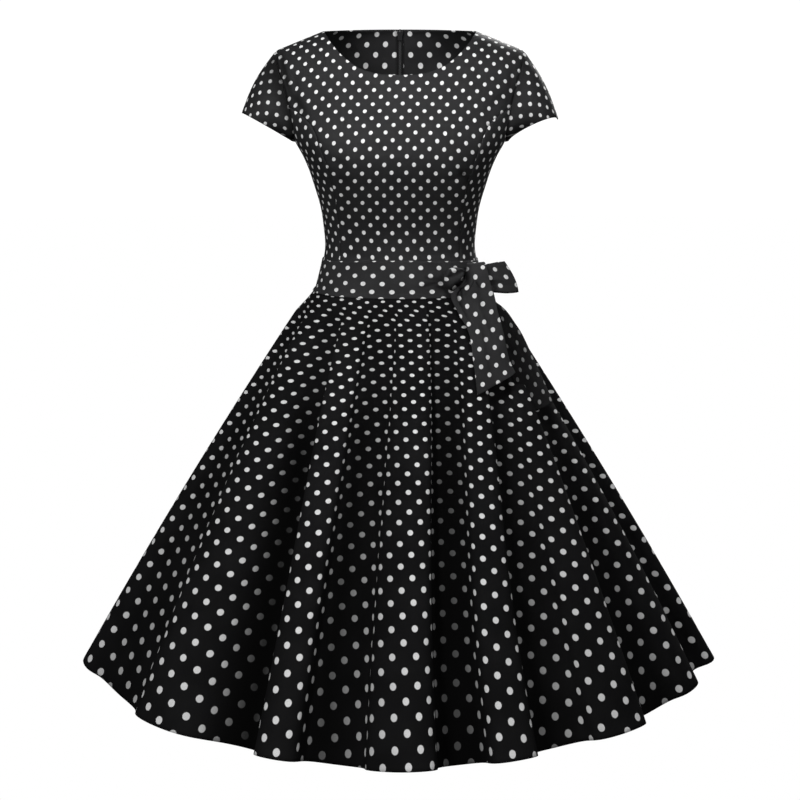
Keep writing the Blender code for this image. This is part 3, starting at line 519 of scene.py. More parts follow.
def flattened(points, middle, stride=1, rounds=700, settling=0.11):
    # the cut shape: distances over the cloth settle until each small step keeps its own length
    coarse = points[::stride, ::stride]
    across = runAlong(coarse, 1)
    flat = stacked(across - across[:, middle // stride][:, None], runAlong(coarse, 0))
    whole, low, high = slice(None), slice(None, -1), slice(1, None)
    pairs = (((whole, low), (whole, high)), ((low, whole), (high, whole)),
             ((low, low), (high, high)), ((low, high), (high, low)))
    steps = [np.linalg.norm(coarse[b] - coarse[a], axis=-1) for a, b in pairs]
    for _ in range(rounds):
        moved = np.zeros_like(flat)
        for (a, b), step in zip(pairs, steps):
            reach = flat[b] - flat[a]
            pull = reach * (1 - step / np.maximum(np.linalg.norm(reach, axis=-1), 1e-9))[..., None]
            moved[a] += pull
            moved[b] -= pull
        flat += moved * settling

    def finer(values, axis):
        old = np.arange(values.shape[axis])
        wanted = np.linspace(0, old[-1], old[-1] * stride + 1)
        return np.apply_along_axis(lambda line: np.interp(wanted, old, line), axis, values)

    return finer(finer(flat, 1), 0)


def pinned(points, flat, middle):
    # keeps true lengths along and across the middle line, where the print is seen most
    across, along = runAlong(points, 1), runAlong(points, 0)
    true, laid = (run[:, middle + 1] - run[:, middle - 1] for run in (across, flat[..., 0]))
    shift = along[:, middle] - flat[:, middle, 1]
    fromMiddle = flat[..., 0] - flat[:, middle, 0][:, None]
    return stacked(fromMiddle * (true / laid)[:, None], flat[..., 1] + shift[:, None])


def printed(thread, period, phase, lean=(0.0, 0.0)):
    return (thread + thread[..., ::-1] * np.array(lean)) / np.array(period) + np.array(phase)


def mirrored(points):
    return points[:, ::-1] * np.array([-1, 1, 1])


def bodicePair(node, grid, thread, thick, light, period, phases):
    # the left piece and its mirror image, each with its own place in the print
    for hand in ("left", "right"):
        shape, maps = grid, (printed(thread, period, phases[hand]), thread, light, thick)
        if hand == "right":
            shape, maps = mirrored(grid), (values[:, ::-1] for values in maps)
        dots, threads, lit, walls = maps
        piece = sheetPiece(f"dress_{node}_{hand}", shape, dots, threads, bodiceCloth, lit, walls)
        declareCloth(piece, f"{node}_{hand}", shape)


points, armhole = bodiceGrids()
frontCreases = [
    # two ends across and up, bend, width, height
    (0.1, -0.196, 0.06, -0.212, 0.004, 0.0045, -0.0012),
    (-0.108, -0.18, -0.072, -0.196, 0.003, 0.005, -0.001),
    (0.085, -0.33, 0.035, -0.316, -0.003, 0.006, -0.0008),
    (-0.09, -0.322, -0.03, -0.332, 0.003, 0.006, -0.0008),
    (0.15, -0.085, 0.118, -0.12, 0.004, 0.006, -0.0014),
    (-0.154, -0.06, -0.142, -0.118, -0.003, 0.006, -0.002),
]
frontShadows = [
    # painted shade strokes: two ends across and up, bend, width, strength
    (-0.174, -0.025, -0.154, -0.098, -0.002, 0.0042, 0.85),
    (-0.156, -0.09, -0.131, -0.125, 0.002, 0.006, 0.6),
    (0.082, -0.195, 0.101, -0.215, 0.0015, 0.004, 0.8),
    (-0.09, -0.206, -0.07, -0.214, 0.0015, 0.005, 0.35),
    (0.16, -0.05, 0.15, -0.1, 0.003, 0.006, 0.45),
]
front = np.concatenate([mirrored(points["half"])[:, :-1], points["half"]], axis=1)
normals = -gridNormals(front)
middle = front.shape[1] // 2
thread = pinned(front, flattened(front, middle, bodice["detail"]), middle)
thread = pinned(front, flattened(front, middle, bodice["detail"]), middle)
x, z, down = front[..., 0], front[..., 2], thread[..., 1]
k, m = bodice["frontAcross"], bodice["frontDown"]
dots = stacked(x * (k[0] + k[1] * z + k[2] * x * x) + (k[3] + k[4] * z) * z + k[5],
               down * (m[0] + m[1] * down) + m[2] * thread[..., 0] ** 2 + m[3])
# painted shade beside the armholes, along the shoulder creases and under the bust
light = shaded(frontShadows, front)
front = seamed(creased(front, normals, frontCreases), normals, ("left", "right"))
piece = sheetPiece("dress_front_centre", front, dots, thread, bodiceCloth, light,
                   turnedEnd(front, bodice["turned"]))
declareCloth(piece, "front_centre", front)

side = points["side"]
thread = flattened(side, 0, bodice["detail"])
side = seamed(side, -gridNormals(side), ("left", "right", "last"))
whole = np.ones(side.shape[:2])
bodicePair("front_side", side, thread, whole / cloth["turnedEdge"], whole, bodice["sidePeriod"],
           bodice["sidePhase"])
backCreases = [
    (0.02, -0.3, 0.085, -0.285, 0.004, 0.006, -0.0014),
    (0.03, -0.322, 0.095, -0.318, -0.003, 0.0055, -0.0011),
    (0.11, -0.13, 0.075, -0.165, 0.003, 0.006, -0.0012),
]
back = points["back"]
normals = -gridNormals(back)
thread = flattened(back, back.shape[1] - 1, bodice["detail"])
back = drawnIn(seamed(creased(back, normals, backCreases), normals, ("left",)), ("right",))
# the gap at the top of the zip, and a painted shadow line along the tape's edge
slot = {"half": 0.0016, "reach": 0.015, "edgeShade": 0.5, "edgeAt": 0.0056, "edgeWidth": 0.0007}
fromSeam = runAlong(back, 1)[:, -1:] - runAlong(back, 1)
paintedTapeShadow = 1 - slot["edgeShade"] * np.exp(-((fromSeam - slot["edgeAt"]) / slot["edgeWidth"]) ** 2)
near = np.linalg.norm(back[:, -1] - back[-1, -1], axis=-1)
back[:, -1, 0] += slot["half"] * (1 - easeIn(near, slot["reach"] * 0.6, slot["reach"] * 1.1))
bodicePair("back", back, thread, turnedEnd(back, bodice["turned"]), paintedTapeShadow, bodice["backPeriod"],
           bodice["backPhase"])
print("bodice made")


sleeve = {
    "tip": {"left": (0.2335, 0.0, -0.128), "right": (0.2335, 0.0, -0.119)},
    "under": np.array([0.1612, 0.0, -0.159]),
    "depth": 0.046, "lift": {"left": 0.25, "right": 0.1}, "crown": 0.0062, "crownUnder": 0.1,
    "rows": 24, "puckers": 17, "puckerHeight": 0.0007, "puckerAt": 0.06, "puckerReach": 0.1,
    "deeperSeam": 1.6, "turned": 0.012, "period": (0.0222, 0.0226), "phase": (0.1, 0.35),
    # painted shade beside the armhole seam: how dark, and how far from it it reaches
    "shade": {"left": (0.5, 0.12), "right": (0.85, 0.3)},
}


def sleeveGrid(armhole, tip, lift):
    run = runAlong(armhole, 0)
    run = np.append(run, run[-1] + np.linalg.norm(armhole[0] - armhole[-1]))
    ringed = np.vstack([armhole, armhole[:1]])
    under = int(np.argmin(np.linalg.norm(armhole - sleeve["under"], axis=1)))
    share = np.where(np.arange(len(ringed)) <= under, run / run[under],
                     1 + (run - run[under]) / (run[-1] - run[under]))
    turn = math.pi * share
    middle = (tip + sleeve["under"]) / 2
    reach = (tip - sleeve["under"]) / 2
    hub = armhole.mean(axis=0)
    deep = sleeve["depth"] * np.sin(turn)
    hem = middle + reach * np.cos(turn)[:, None]
    hem[:, 1] -= deep
    hem[:, 2] += lift * np.abs(deep)
    top = np.cos(turn / 2) ** 2
    crown = sleeve["crown"] * mixed(sleeve["crownUnder"], 1.0, top)
    pucker = np.sin(turn * sleeve["puckers"] + np.sin(turn * 3)) * np.clip(top - 0.2, 0, 1)
    # the ring is cut open under the arm
    order = np.append(np.roll(np.arange(len(armhole)), -under), under)
    ringed, hem, crown, pucker = ringed[order], hem[order], crown[order], pucker[order]
    f = np.linspace(0, 1, sleeve["rows"] + 1)[:, None, None]
    place = mixed(ringed[None], hem[None], f)
    away = place - mixed(hub, middle, f)
    axis = unit(middle - hub)
    away = unit(away - axis * (away @ axis)[..., None])
    f = f[..., 0]
    swell = crown[None] * np.sin(math.pi * f)
    raised = np.exp(-((f - sleeve["puckerAt"]) / sleeve["puckerReach"]) ** 2)
    swell = swell + sleeve["puckerHeight"] * pucker[None] * raised
    return place + away * swell[..., None]


for hand in ("left", "right"):
    grid = sleeveGrid(armhole, np.array(sleeve["tip"][hand]), sleeve["lift"][hand])
    if hand == "right":
        grid = mirrored(grid)
    normals = gridNormals(grid, ring=True)
    if (normals * (grid - grid.mean(axis=(0, 1)))).sum() < 0:
        normals = -normals
    grid = seamed(grid, normals, ("first",), cloth["seamDip"] * sleeve["deeperSeam"])
    thread = flattened(grid, grid.shape[1] // 16 * 8, 8)
    dots = printed(thread, sleeve["period"], sleeve["phase"])
    strength, far = sleeve["shade"][hand]
    share = np.linspace(0, 1, grid.shape[0])[:, None]
    # painted shade beside the armhole seam on the front of the sleeve
    light = 1 - strength * np.exp(-(share / far) ** 2) * easeIn(-grid[..., 1], 0.0, 0.02)
    piece = sheetPiece("dress_sleeve_" + hand, grid, dots, thread, bodiceCloth, light,
                       turnedEnd(grid, sleeve["turned"]), ring=True, outwards=hand == "right")
    declareCloth(piece, "sleeve_" + hand, grid)
print("sleeves made")

skirt = {
    "waist": -0.376, "hem": -0.967,
    "top": (0.124, 0.105, 0.097, 2.2), "bottom": (0.472, 0.452, 0.448, 1.7),
    "bulge": 0.008, "kick": 0.0036, "kickReach": 0.02,
    "foldStart": 0.02, "foldSettle": 0.05, "foldAtWaist": 0.24, "foldDrift": 2.6, "hemLift": 0.28,
    # ridge angle at the hem, at the waist, its height, then the valley after it in the same way, then how far
    # along the cloth falls into the valley and how abruptly, the same where it rises to the next ridge, and
    # how dark the valley's painted shade is, and how gradually that painted shade lightens as the cloth rises
    "folds": np.array([
        (-138.0, -132.0, 0.017, -127.0, -121.0, -0.019, 0.55, 0.7, 0.4, 0.7, 1.0, 0.2),
        (-115.0, -111.0, 0.018, -103.0, -101.0, -0.018, 0.45, 0.8, 0.55, 0.6, 1.0, 0.2),
        (-90.0, -92.0, 0.022, -70.0, -77.0, -0.014, 0.35, 0.6, 0.5, 0.5, 1.0, 0.2),
        (-48.0, -62.0, 0.019, -31.3, -50.0, -0.026, 0.55, 0.3, 0.49, 0.95, 1.12, 0.0),
        (-22.0, -26.0, 0.02, -14.5, -15.0, -0.024, 0.52, 0.8, 0.52, 0.95, 1.12, 1.0),
        (2.0, 11.0, 0.018, 10.8, 28.5, -0.026, 0.5, 0.95, 0.6, 0.9, 1.06, 0.1),
        (19.2, 43.0, 0.016, 29.0, 57.0, -0.026, 0.62, 0.9, 0.6, 0.9, 0.76, 0.6),
        (44.7, 65.0, 0.016, 57.5, 70.0, -0.026, 0.6, 0.9, 0.65, 0.6, 0.66, 0.3),
        (76.0, 81.0, 0.0, 84.0, 86.0, -0.02, 0.5, 0.6, 0.5, 0.8, 0.7, 0.2),
        (92.0, 90.0, 0.02, 103.0, 101.0, -0.02, 0.6, 0.7, 0.45, 0.7, 1.0, 0.2),
        (115.0, 112.0, 0.017, 126.0, 123.0, -0.022, 0.5, 0.8, 0.6, 0.4, 1.0, 0.2),
        (137.0, 134.0, 0.018, 147.0, 146.0, -0.02, 0.6, 0.6, 0.4, 0.8, 1.0, 0.2),
        (158.0, 157.0, 0.016, 169.0, 168.5, -0.02, 0.45, 0.8, 0.55, 0.5, 1.0, 0.2),
        (180.0, 180.0, 0.018, 190.5, 191.0, -0.021, 0.55, 0.5, 0.4, 0.8, 1.0, 0.2),
        (201.0, 203.0, 0.017, 211.5, 216.0, -0.022, 0.6, 0.8, 0.55, 0.5, 1.0, 0.2),
    ]),
    # painted shade: the valley depth it is measured by, its strength and how far down it grows, then painted
    # shade under the sash and how far down that reaches
    "deepest": 0.026, "valleyPaintedShade": 0.87, "dimsOver": 0.42, "topShade": 0.26, "topShadeTo": 0.25,
    "rightSeam": 2, "leftSeam": 9, "backSeam": 13,
    "stepsPerFold": 32, "rows": 130, "rowGrowth": 1.15, "evenAt": 0.75, "turned": 0.014,
    "printStart": 13.0, "printGrowth": 28.3, "printPace": 2.66, "printHalfAngle": 33.0,
    "printToMiddle": (0.38, 0.33), "printWideStart": 14.6, "printWideGrowth": 27.05,
    "printDeeper": 1.7,    # the print crowds on the steep flanks as if the folds were this much deeper
}


def paced(f, ease):
    # quicker at the ends of a step and slower in its middle, or the other way round where ease is below 0
    return f + ease * np.sin(2 * math.pi * f) / (2 * math.pi)


def foldShape(s):
    folds, count = skirt["folds"], len(skirt["folds"])
    index = np.floor(s).astype(int)

    def turned(table, lap):
        return table + stacked(lap * 360.0, lap * 360.0, 0.0)

    fold = folds[index % count]
    ridge, valley = turned(fold[:, :3], index // count), turned(fold[:, 3:6], index // count)
    after = turned(folds[(index + 1) % count][:, :3], (index + 1) // count)
    f = (s - index) * 2
    falling = (f < 1)[:, None]
    start, end = np.where(falling, ridge, valley).T, np.where(falling, valley, after).T
    place, ease = np.where(falling, fold[:, 6:8], fold[:, 8:10]).T
    f = np.where(f < 1, f, f - 1)
    level = (1 - np.cos(math.pi * f)) / 2
    eased = np.clip(paced(f, ease), 0, 1) ** (np.log(place) / math.log(0.5))
    # how far into the valley, weighted by that valley's painted shade
    deep = np.where(falling[:, 0], level, 1 - mixed(level, paced(f, ease), fold[:, 11]))
    deep = deep * -fold[:, 5] / skirt["deepest"] * fold[:, 10]
    hemAngle, waistAngle = mixed(start[0], end[0], eased), mixed(start[1], end[1], eased)
    return hemAngle, waistAngle, mixed(start[2], end[2], level), deep


def skirtBase(angle, t, out=0.0):
    half, front, back, roundness = (mixed(a, b, t) for a, b in zip(skirt["top"], skirt["bottom"]))
    swell = 4 * skirt["bulge"] * t * (1 - t) + skirt["kick"] * (1 - np.exp(-t / skirt["kickReach"])) * (1 - t)
    radians = np.radians(angle)
    s, c = np.sin(radians), np.cos(radians)
    depth = np.where(c > 0, front, back)
    share = np.abs(s / (half + swell)) ** roundness + np.abs(c / (depth + swell)) ** roundness
    radius = share ** (-1 / roundness) + out
    return stacked(s * radius, -c * radius, mixed(skirt["waist"], skirt["hem"], t))


def skirtPoints(s, t, deeper=1.0):
    hemAngle, waistAngle, height, deep = foldShape(s)
    t = t[:, None]
    angle = mixed(hemAngle[None], waistAngle[None], (1 - t) ** skirt["foldDrift"])
    begun = easeIn(t, skirt["foldStart"], skirt["foldStart"] + skirt["foldSettle"])
    growth = mixed(skirt["foldAtWaist"], 1.0, t) * begun
    out = height[None] * growth * deeper
    place = skirtBase(angle, t, out)
    place[..., 2] += skirt["hemLift"] * out * t
    # painted shade, darker in the fold valleys and towards the waist under the sash
    light = 1 - skirt["valleyPaintedShade"] * easeIn(t, -0.05, skirt["dimsOver"]) * deep[None]
    return place, light * (1 - skirt["topShade"] * (1 - easeIn(t, 0.0, skirt["topShadeTo"])))


def skirtPrint(grid, t, deepGrid, panelShare, toMiddle, start):
    # The print is cut as a sector, with its dots growing apart towards the hem. On the front they crowd a
    # little towards the middle.
    k, walked = skirt, runAlong(deepGrid, 1)
    share = walked / walked[:, -1:] - 0.5
    growth = np.log(1 + k["printPace"] * t)[:, None]
    radius = k["printStart"] + k["printGrowth"] * growth
    wide = k["printWideStart"] + k["printWideGrowth"] * growth
    share = paced(share, mixed(*toMiddle, easeIn(t, 0.0, 0.6))[:, None])
    turn = np.radians(2 * k["printHalfAngle"] * share) * panelShare
    flat = stacked(wide * np.sin(turn), -radius * np.cos(turn)) / math.sqrt(2) + np.array(start)
    return flat, stacked(runAlong(grid, 1), runAlong(grid, 0))

last = len(skirt["folds"])
# the folds at each panel's edges, its print's share of the front's, how that crowds, and where it starts
skirtSpans = {
    "skirt_front": (skirt["rightSeam"], skirt["leftSeam"], 1.0, skirt["printToMiddle"], (0.0, 0.0)),
    "skirt_back_right": (skirt["backSeam"], skirt["rightSeam"] + last, 0.52, (0.0, 0.0), (0.31, 0.17)),
    "skirt_back_left": (skirt["leftSeam"], skirt["backSeam"], 0.52, (0.0, 0.0), (0.05, 0.4)),
}
for node, (first, end, *printing) in skirtSpans.items():
    stations = np.linspace(first, end, 4001)
    run = runAlong(skirtPoints(stations, np.array([skirt["evenAt"]]))[0], 1)[0]
    stations = np.interp(np.linspace(0, run[-1], (end - first) * skirt["stepsPerFold"] + 1), run, stations)
    t = np.linspace(0, 1, skirt["rows"] + 1) ** skirt["rowGrowth"]
    grid, light = skirtPoints(stations, t)
    dots, thread = skirtPrint(grid, t, skirtPoints(stations, t, skirt["printDeeper"])[0], *printing)
    grid = seamed(grid, gridNormals(grid), ("left", "right"))
    piece = sheetPiece("dress_" + node, grid, dots, thread, skirtCloth, light,
                       turnedEnd(grid, skirt["turned"]))
    declareCloth(piece, node, grid)
print("skirt made")


sash = {
    "wall": 0.0011, "solidWall": 0.0014, "topFront": -0.3275, "topSide": -0.334, "low": 0.45,
    "stand": 0.001, "slack": 0.0006, "rows": 18, "columns": 240, "lowRows": (0, 0.34, 0.67),
    "period": (0.0282, 0.0221), "phase": (0.9, 0.566),
    # dents beside the knot, as two ends across and up, bend, width and height, and their painted shade
    "dents": [
        (0.03, -0.364, 0.066, -0.359, 0.002, 0.002, -0.0012),
        (0.036, -0.35, 0.066, -0.3545, -0.001, 0.0022, -0.001),
        (0.04, -0.34, 0.064, -0.346, 0.001, 0.0022, -0.0008),
    ],
    "dentShade": [
        (0.03, -0.365, 0.066, -0.36, 0.002, 0.0024, 0.75),
        (0.036, -0.351, 0.066, -0.355, -0.001, 0.0022, 0.55),
        (0.05, -0.366, 0.068, -0.369, 0.001, 0.003, 0.7),
    ],
}


def sashGrid():
    angle = np.linspace(-180, 180, sash["columns"] + 1)

    def ringAt(height):
        ring = torsoPoints(np.abs(angle), height)
        ring[:, 0] *= np.where(angle < 0, -1, 1)
        return ring

    top = mixed(sash["topFront"], sash["topSide"], np.sin(np.radians(angle)) ** 2)
    waist = ringAt(np.full_like(angle, bodice["waist"]))
    turn = np.degrees(np.arctan2(waist[:, 0], -waist[:, 1]))
    kick = skirtBase(turn, 0.02) - skirtBase(turn, 0.0)
    grid = []
    for f in np.linspace(0, 1, sash["rows"] + 1):
        ring = ringAt(mixed(bodice["waist"], top, f))
        normal = np.gradient(ring, axis=0)
        normal[0] = normal[-1] = ring[1] - ring[-2]
        normal = unit(stacked(normal[:, 1], -normal[:, 0], 0.0))
        grid.append(ring + normal * (sash["stand"] + sash["solidWall"] / 2 + sash["slack"] * (1 - f)))
    low = grid[0] + kick * sash["low"]
    return np.array([mixed(low, grid[0], f) for f in sash["lowRows"]] + grid)[::-1]


def bandThread(grid):
    # measured along the middle row
    return stacked(runAlong(grid, 1)[grid.shape[0] // 2][None], runAlong(grid, 0).mean(axis=1)[:, None])


grid = sashGrid()
normals = gridNormals(grid, ring=True)
thread = bandThread(grid)
thread[..., 0] -= thread[:, thread.shape[1] // 2, :1]
# the print meets itself at the back, so a whole number of dots goes round
girth = np.ptp(thread[0, :, 0])
dotsRound = round(girth / sash["period"][0])
dots = printed(thread, (girth / dotsRound, sash["period"][1]), sash["phase"])
atFront = np.where(grid[..., 1] < 0, 1.0, 0.0)
# painted shade in the dents beside the knot and along the sash's lower edge there, on the front only
light = 1 - (1 - shaded(sash["dentShade"], grid)) * atFront
grid = grid + normals * (strokes(sash["dents"], grid) * atFront)[..., None]
piece = sheetPiece("dress_sash", grid, dots, thread, sashCloth, light, ring=True,
                   wall=sash["wall"] / cloth["turnedEdge"])
declareCloth(piece, "sash", grid)
print("sash made")


bow = {
    "knotAngle": 36.0, "knotZ": -0.3545, "knotSize": (0.0165, 0.01, 0.0165), "knotSquare": 0.8,
    "knotStand": 0.0012, "knotWall": 0.0006, "knotRows": 56, "knotColumns": 96, "knotPhase": (0.25, 0.1),
    "wall": 0.0011,
    # the knot's folds fan out from a point beside it, in shares of its size
    "fanFrom": (1.15, 0.85), "fanFolds": 9.0, "fanHeight": 0.002,
    # heading from the way round the body, length, height at the tip, at the knot, slant, hollow, drop
    "loop": (-18.0, 0.081, 0.046, 0.033, 0.022, 0.011, -0.0015),
    "spread": 1.25, "neck": 0.45, "end": 1.35, "loopSag": 0.003, "loopCreases": 0.0016,
    # share of the way down, left edge, right edge, how far the middle bows out
    "frontTail": np.array([
        (0.0, 0.0993, -0.078, -0.3431, 0.1184, -0.074, -0.3406, 0.0),
        (0.06, 0.0974, -0.089, -0.3323, 0.1223, -0.083, -0.3308, 0.001),
        (0.13, 0.0963, -0.101, -0.3405, 0.1263, -0.094, -0.3398, 0.002),
        (0.22, 0.0926, -0.107, -0.3587, 0.1305, -0.101, -0.3587, 0.003),
        (0.29, 0.0753, -0.108, -0.3716, 0.1355, -0.104, -0.3736, 0.003),
        (0.42, 0.0824, -0.116, -0.3983, 0.1413, -0.109, -0.3992, 0.003),
        (0.56, 0.0973, -0.129, -0.4241, 0.1485, -0.116, -0.426, 0.004),
        (0.77, 0.1046, -0.153, -0.4669, 0.1566, -0.132, -0.4645, 0.004),
        (1.0, 0.1096, -0.178, -0.5105, 0.1655, -0.144, -0.4839, 0.004),
    ]),
    "backTail": np.array([
        (0.0, 0.081, -0.088, -0.3744, 0.0965, -0.0822, -0.3744, 0.0),
        (0.15, 0.105, -0.0925, -0.398, 0.14, -0.056, -0.393, 0.004),
        (0.38, 0.127, -0.104, -0.432, 0.172, -0.054, -0.428, 0.003),
        (0.64, 0.152, -0.117, -0.47, 0.194, -0.0597, -0.47, 0.004),
        (1.0, 0.174, -0.133, -0.526, 0.2246, -0.0817, -0.537, 0.008),
    ]),
    "backPoint": 0.016,    # how far the middle of the back tail's end hangs below its corners
    # across the tail, from and to on the way down, width and depth, as shares and metres
    "frontCreases": [
        (0.17, 0.23, 0.46, 0.035, 0.0042), (0.34, 0.2, 0.3, 0.03, 0.0022), (0.62, 0.26, 0.62, 0.06, 0.0012),
        (0.4, 0.5, 0.95, 0.07, 0.001),
    ],
    "backCreases": [(0.35, 0.05, 0.6, 0.07, 0.0016), (0.7, 0.1, 0.8, 0.07, 0.0014)],
    # pinches round the knot, dented in and darkened by painted shade: two ends across and up, bend, width,
    # strength
    "pinches": [
        (0.095, -0.341, 0.1, -0.358, 0.0, 0.0024, 0.9),
        (0.079, -0.36, 0.092, -0.371, 0.001, 0.0018, 0.9),
        (0.0895, -0.369, 0.091, -0.383, 0.0, 0.0014, 0.9),
        (0.1095, -0.356, 0.116, -0.366, 0.0005, 0.0014, 0.85),
        (0.064, -0.349, 0.076, -0.348, -0.0012, 0.0012, 0.7),
        (0.066, -0.366, 0.074, -0.369, 0.0, 0.0016, 0.6),
    ],
    # pinch dent depth, and the strength of painted shade in the pinches, the knot's folds, the hollow above
    # the front tail, the front tail's creases and the back tail's creases
    "pinchDepth": 0.003, "pinchShade": 0.95, "foldShade": 0.65, "hollowShade": 0.8, "frontShade": 0.75,
    "backShade": 0.5,
    "ripple": 0.0014, "rippleWaves": 1.2, "rippleStart": 0.2,
    "period": (0.0242, 0.0242), "tailPeriod": {"front": (0.0235, 0.027), "back": (0.027, 0.027)},
    "phases": {"front": (0.481, 0.869), "back": (0.94, 0.786), "loop": (0.2, 0.1)},
    "tailLean": {"front": (0.1, 0.05), "back": (0.35, -0.15)},
}


def knotFrame():
    angle, z = bow["knotAngle"], bow["knotZ"]
    across = torsoPoints(angle + 0.4, z) - torsoPoints(angle - 0.4, z)
    up = torsoPoints(angle, z + 0.0008) - torsoPoints(angle, z - 0.0008)
    out = levelUnit(np.cross(across, up))
    clear = sash["stand"] + sash["solidWall"] + sash["slack"] + bow["knotStand"] + bow["knotSize"][1]
    return torsoPoints(angle, z) + out * clear, out, np.cross([0, 0, 1], out)


def pinched(grid):
    return np.clip(strokes(bow["pinches"], grid), 0, 1)


knotCentre, knotOut, knotRound = knotFrame()
latitude = np.linspace(0.02, math.pi - 0.02, bow["knotRows"] + 1)[:, None]
longitude = np.linspace(0, 2 * math.pi, bow["knotColumns"] + 1)[None]
ball = stacked(np.sin(latitude) * np.cos(longitude), np.sin(latitude) * np.sin(longitude), np.cos(latitude))
square = signedPower(ball, bow["knotSquare"])
fan = square[..., [0, 2]] - np.array(bow["fanFrom"])
fold = np.sin(np.arctan2(fan[..., 1], fan[..., 0]) % (2 * math.pi) * bow["fanFolds"])
front = easeIn(square[..., 1], 0.1, 0.7)
sizes = bow["knotSize"]
grid = (knotCentre + knotRound * square[..., :1] * sizes[0] + knotOut * square[..., 1:2] * sizes[1]
        + np.array([0, 0, 1]) * square[..., 2:] * sizes[2])
raised = bow["fanHeight"] * fold * front * np.clip(np.linalg.norm(fan, axis=-1), 0, 1)
grid = grid + knotOut * raised[..., None]
pinch = pinched(grid) * front
grid = grid - knotOut * (bow["pinchDepth"] * pinch)[..., None]
thread = stacked((grid - knotCentre) @ knotRound, grid[..., 2])
# painted shade in the hollows of the knot's folds and in its pinches
light = (1 - bow["foldShade"] * front * easeIn(-fold, -0.2, 1.0)) * (1 - bow["pinchShade"] * pinch)
knot = sheetPiece("dress_bow_knot", grid, printed(thread, bow["period"], bow["knotPhase"]), thread, sashCloth,
                  light, wall=bow["knotWall"], ring=True)
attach(knot, "dress")
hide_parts("bow_knot")


def knotReach(direction):
    a = direction @ knotRound / bow["knotSize"][0]
    b = direction @ knotOut / bow["knotSize"][1]
    power = 2 / bow["knotSquare"]
    return (abs(a) ** power + abs(b) ** power) ** (-1 / power)

def loopGrid(heading, length, tall, gathered, slant, hollow, drop, rows=32, steps=96):
    turn = math.radians(heading)
    ahead = knotRound * math.cos(turn) - knotOut * math.sin(turn)
    across = np.cross([0, 0, 1], ahead)
    start = knotReach(ahead) - 0.002
    v = np.linspace(1, -1, rows + 1)[:, None]
    angle = np.linspace(0, 2 * math.pi, steps + 1)[None]
    run = (1 - np.cos(angle)) / 2
    face = np.sign(np.sin(angle))
    reach = start + (length - slant * ((v + 1) / 2) ** 1.6) * run
    height = v * mixed(gathered, tall, np.minimum(1.0, bow["spread"] * run)) / 2 - drop * run
    height = height - bow["loopSag"] * run * np.clip(np.sin(angle), 0, 1)
    wide = hollow / 2 * np.sin(angle) * mixed(bow["neck"], bow["end"], run)
    wide = wide + bow["loopCreases"] * np.sin(v * 7 + 1 + run) * (1 - run) ** 1.5 * face
    lengthwise = np.exp(-((v - 0.2 + run * 0.5) / 0.12) ** 2)
    wide = wide + bow["loopCreases"] * 0.6 * lengthwise * face * run * (1 - run) * 4
    grid = knotCentre + ahead * reach[..., None] + across * wide[..., None]
    grid[..., 2] += height
    # painted shade near the knot and along the loop's lower edge
    return grid, (1 - 0.55 * (1 - easeIn(run, 0.02, 0.22))) * (1 - 0.85 * easeIn(-v, 0.86, 0.97))


grid, light = loopGrid(*bow["loop"])
thread = bandThread(grid)
piece = sheetPiece("dress_bow_loop", grid, printed(thread, bow["period"], bow["phases"]["loop"]), thread,
                   sashCloth, light, wall=bow["wall"] / cloth["turnedEdge"], ring=True, outwards=True)
declareCloth(piece, "bow_loop_outer", grid)


def tailGrid(tail, creases):
    down = np.linspace(0, 1, 97)
    left, right = (stacked(*(smoothCurve(tail, down, first + k) for k in range(3)))[:, None]
                   for first in (1, 4))
    across = np.linspace(0, 1, 49)
    grid = mixed(left, right, across[None, :, None])
    bowed, down = smoothCurve(tail, down, 7)[:, None], down[:, None]
    swell = bowed * 4 * across * (1 - across)
    waves = bow["rippleWaves"] * across + bow["rippleStart"]
    swell = swell + bow["ripple"] * np.sin(2 * math.pi * waves) * down
    trough = 0 * swell
    for place, start, end, width, depth in creases:
        window = easeIn(down, start - 0.05, start + 0.05) * (1 - easeIn(down, end - 0.15, end + 0.1))
        shape = np.exp(-((across - place) / width) ** 2) * window
        swell = swell - depth * shape
        trough = np.maximum(trough, shape * min(1.0, depth / 0.004))
    return grid + levelUnit(grid) * swell[..., None], trough, down, across


for name, nodes in (("front", "bow_tail_front bow_loop_inner"), ("back", "bow_tail_back")):
    grid, trough, down, across = tailGrid(bow[name + "Tail"], bow[name + "Creases"])
    if name == "front":
        # painted shade in the hollow under the knot, in the creases and in the pinches
        hollow = np.exp(-(across / 0.16) ** 2) * easeIn(down, 0.06, 0.12) * (1 - easeIn(down, 0.2, 0.27))
        pinch = pinched(grid)
        grid = grid - levelUnit(grid) * (bow["pinchDepth"] * pinch)[..., None]
        light = (1 - bow["hollowShade"] * hollow) * (1 - bow["frontShade"] * trough)
        light = light * (1 - bow["pinchShade"] * pinch)
    else:
        grid[..., 2] -= bow["backPoint"] * down ** 3 * (1 - np.abs(2 * across - 0.7) / 1.3)
        # painted shadow from the front tail, darkest beside it and towards the top, with painted shade in the
        # creases
        light = (1 - bow["backShade"] * trough) * mixed(0.16, 0.5, easeIn(across, 0.1, 0.9))
        light = light * mixed(0.75, 1, down)
    thread = flattened(grid, grid.shape[1] // 2, 4)
    dots = printed(thread, bow["tailPeriod"][name], bow["phases"][name], bow["tailLean"][name])
    piece = sheetPiece("dress_bow_tail_" + name, grid, dots, thread, sashCloth, light,
                       wall=bow["wall"] / cloth["turnedEdge"], outwards=True)
    declareCloth(piece, nodes, grid)
print("bow made")


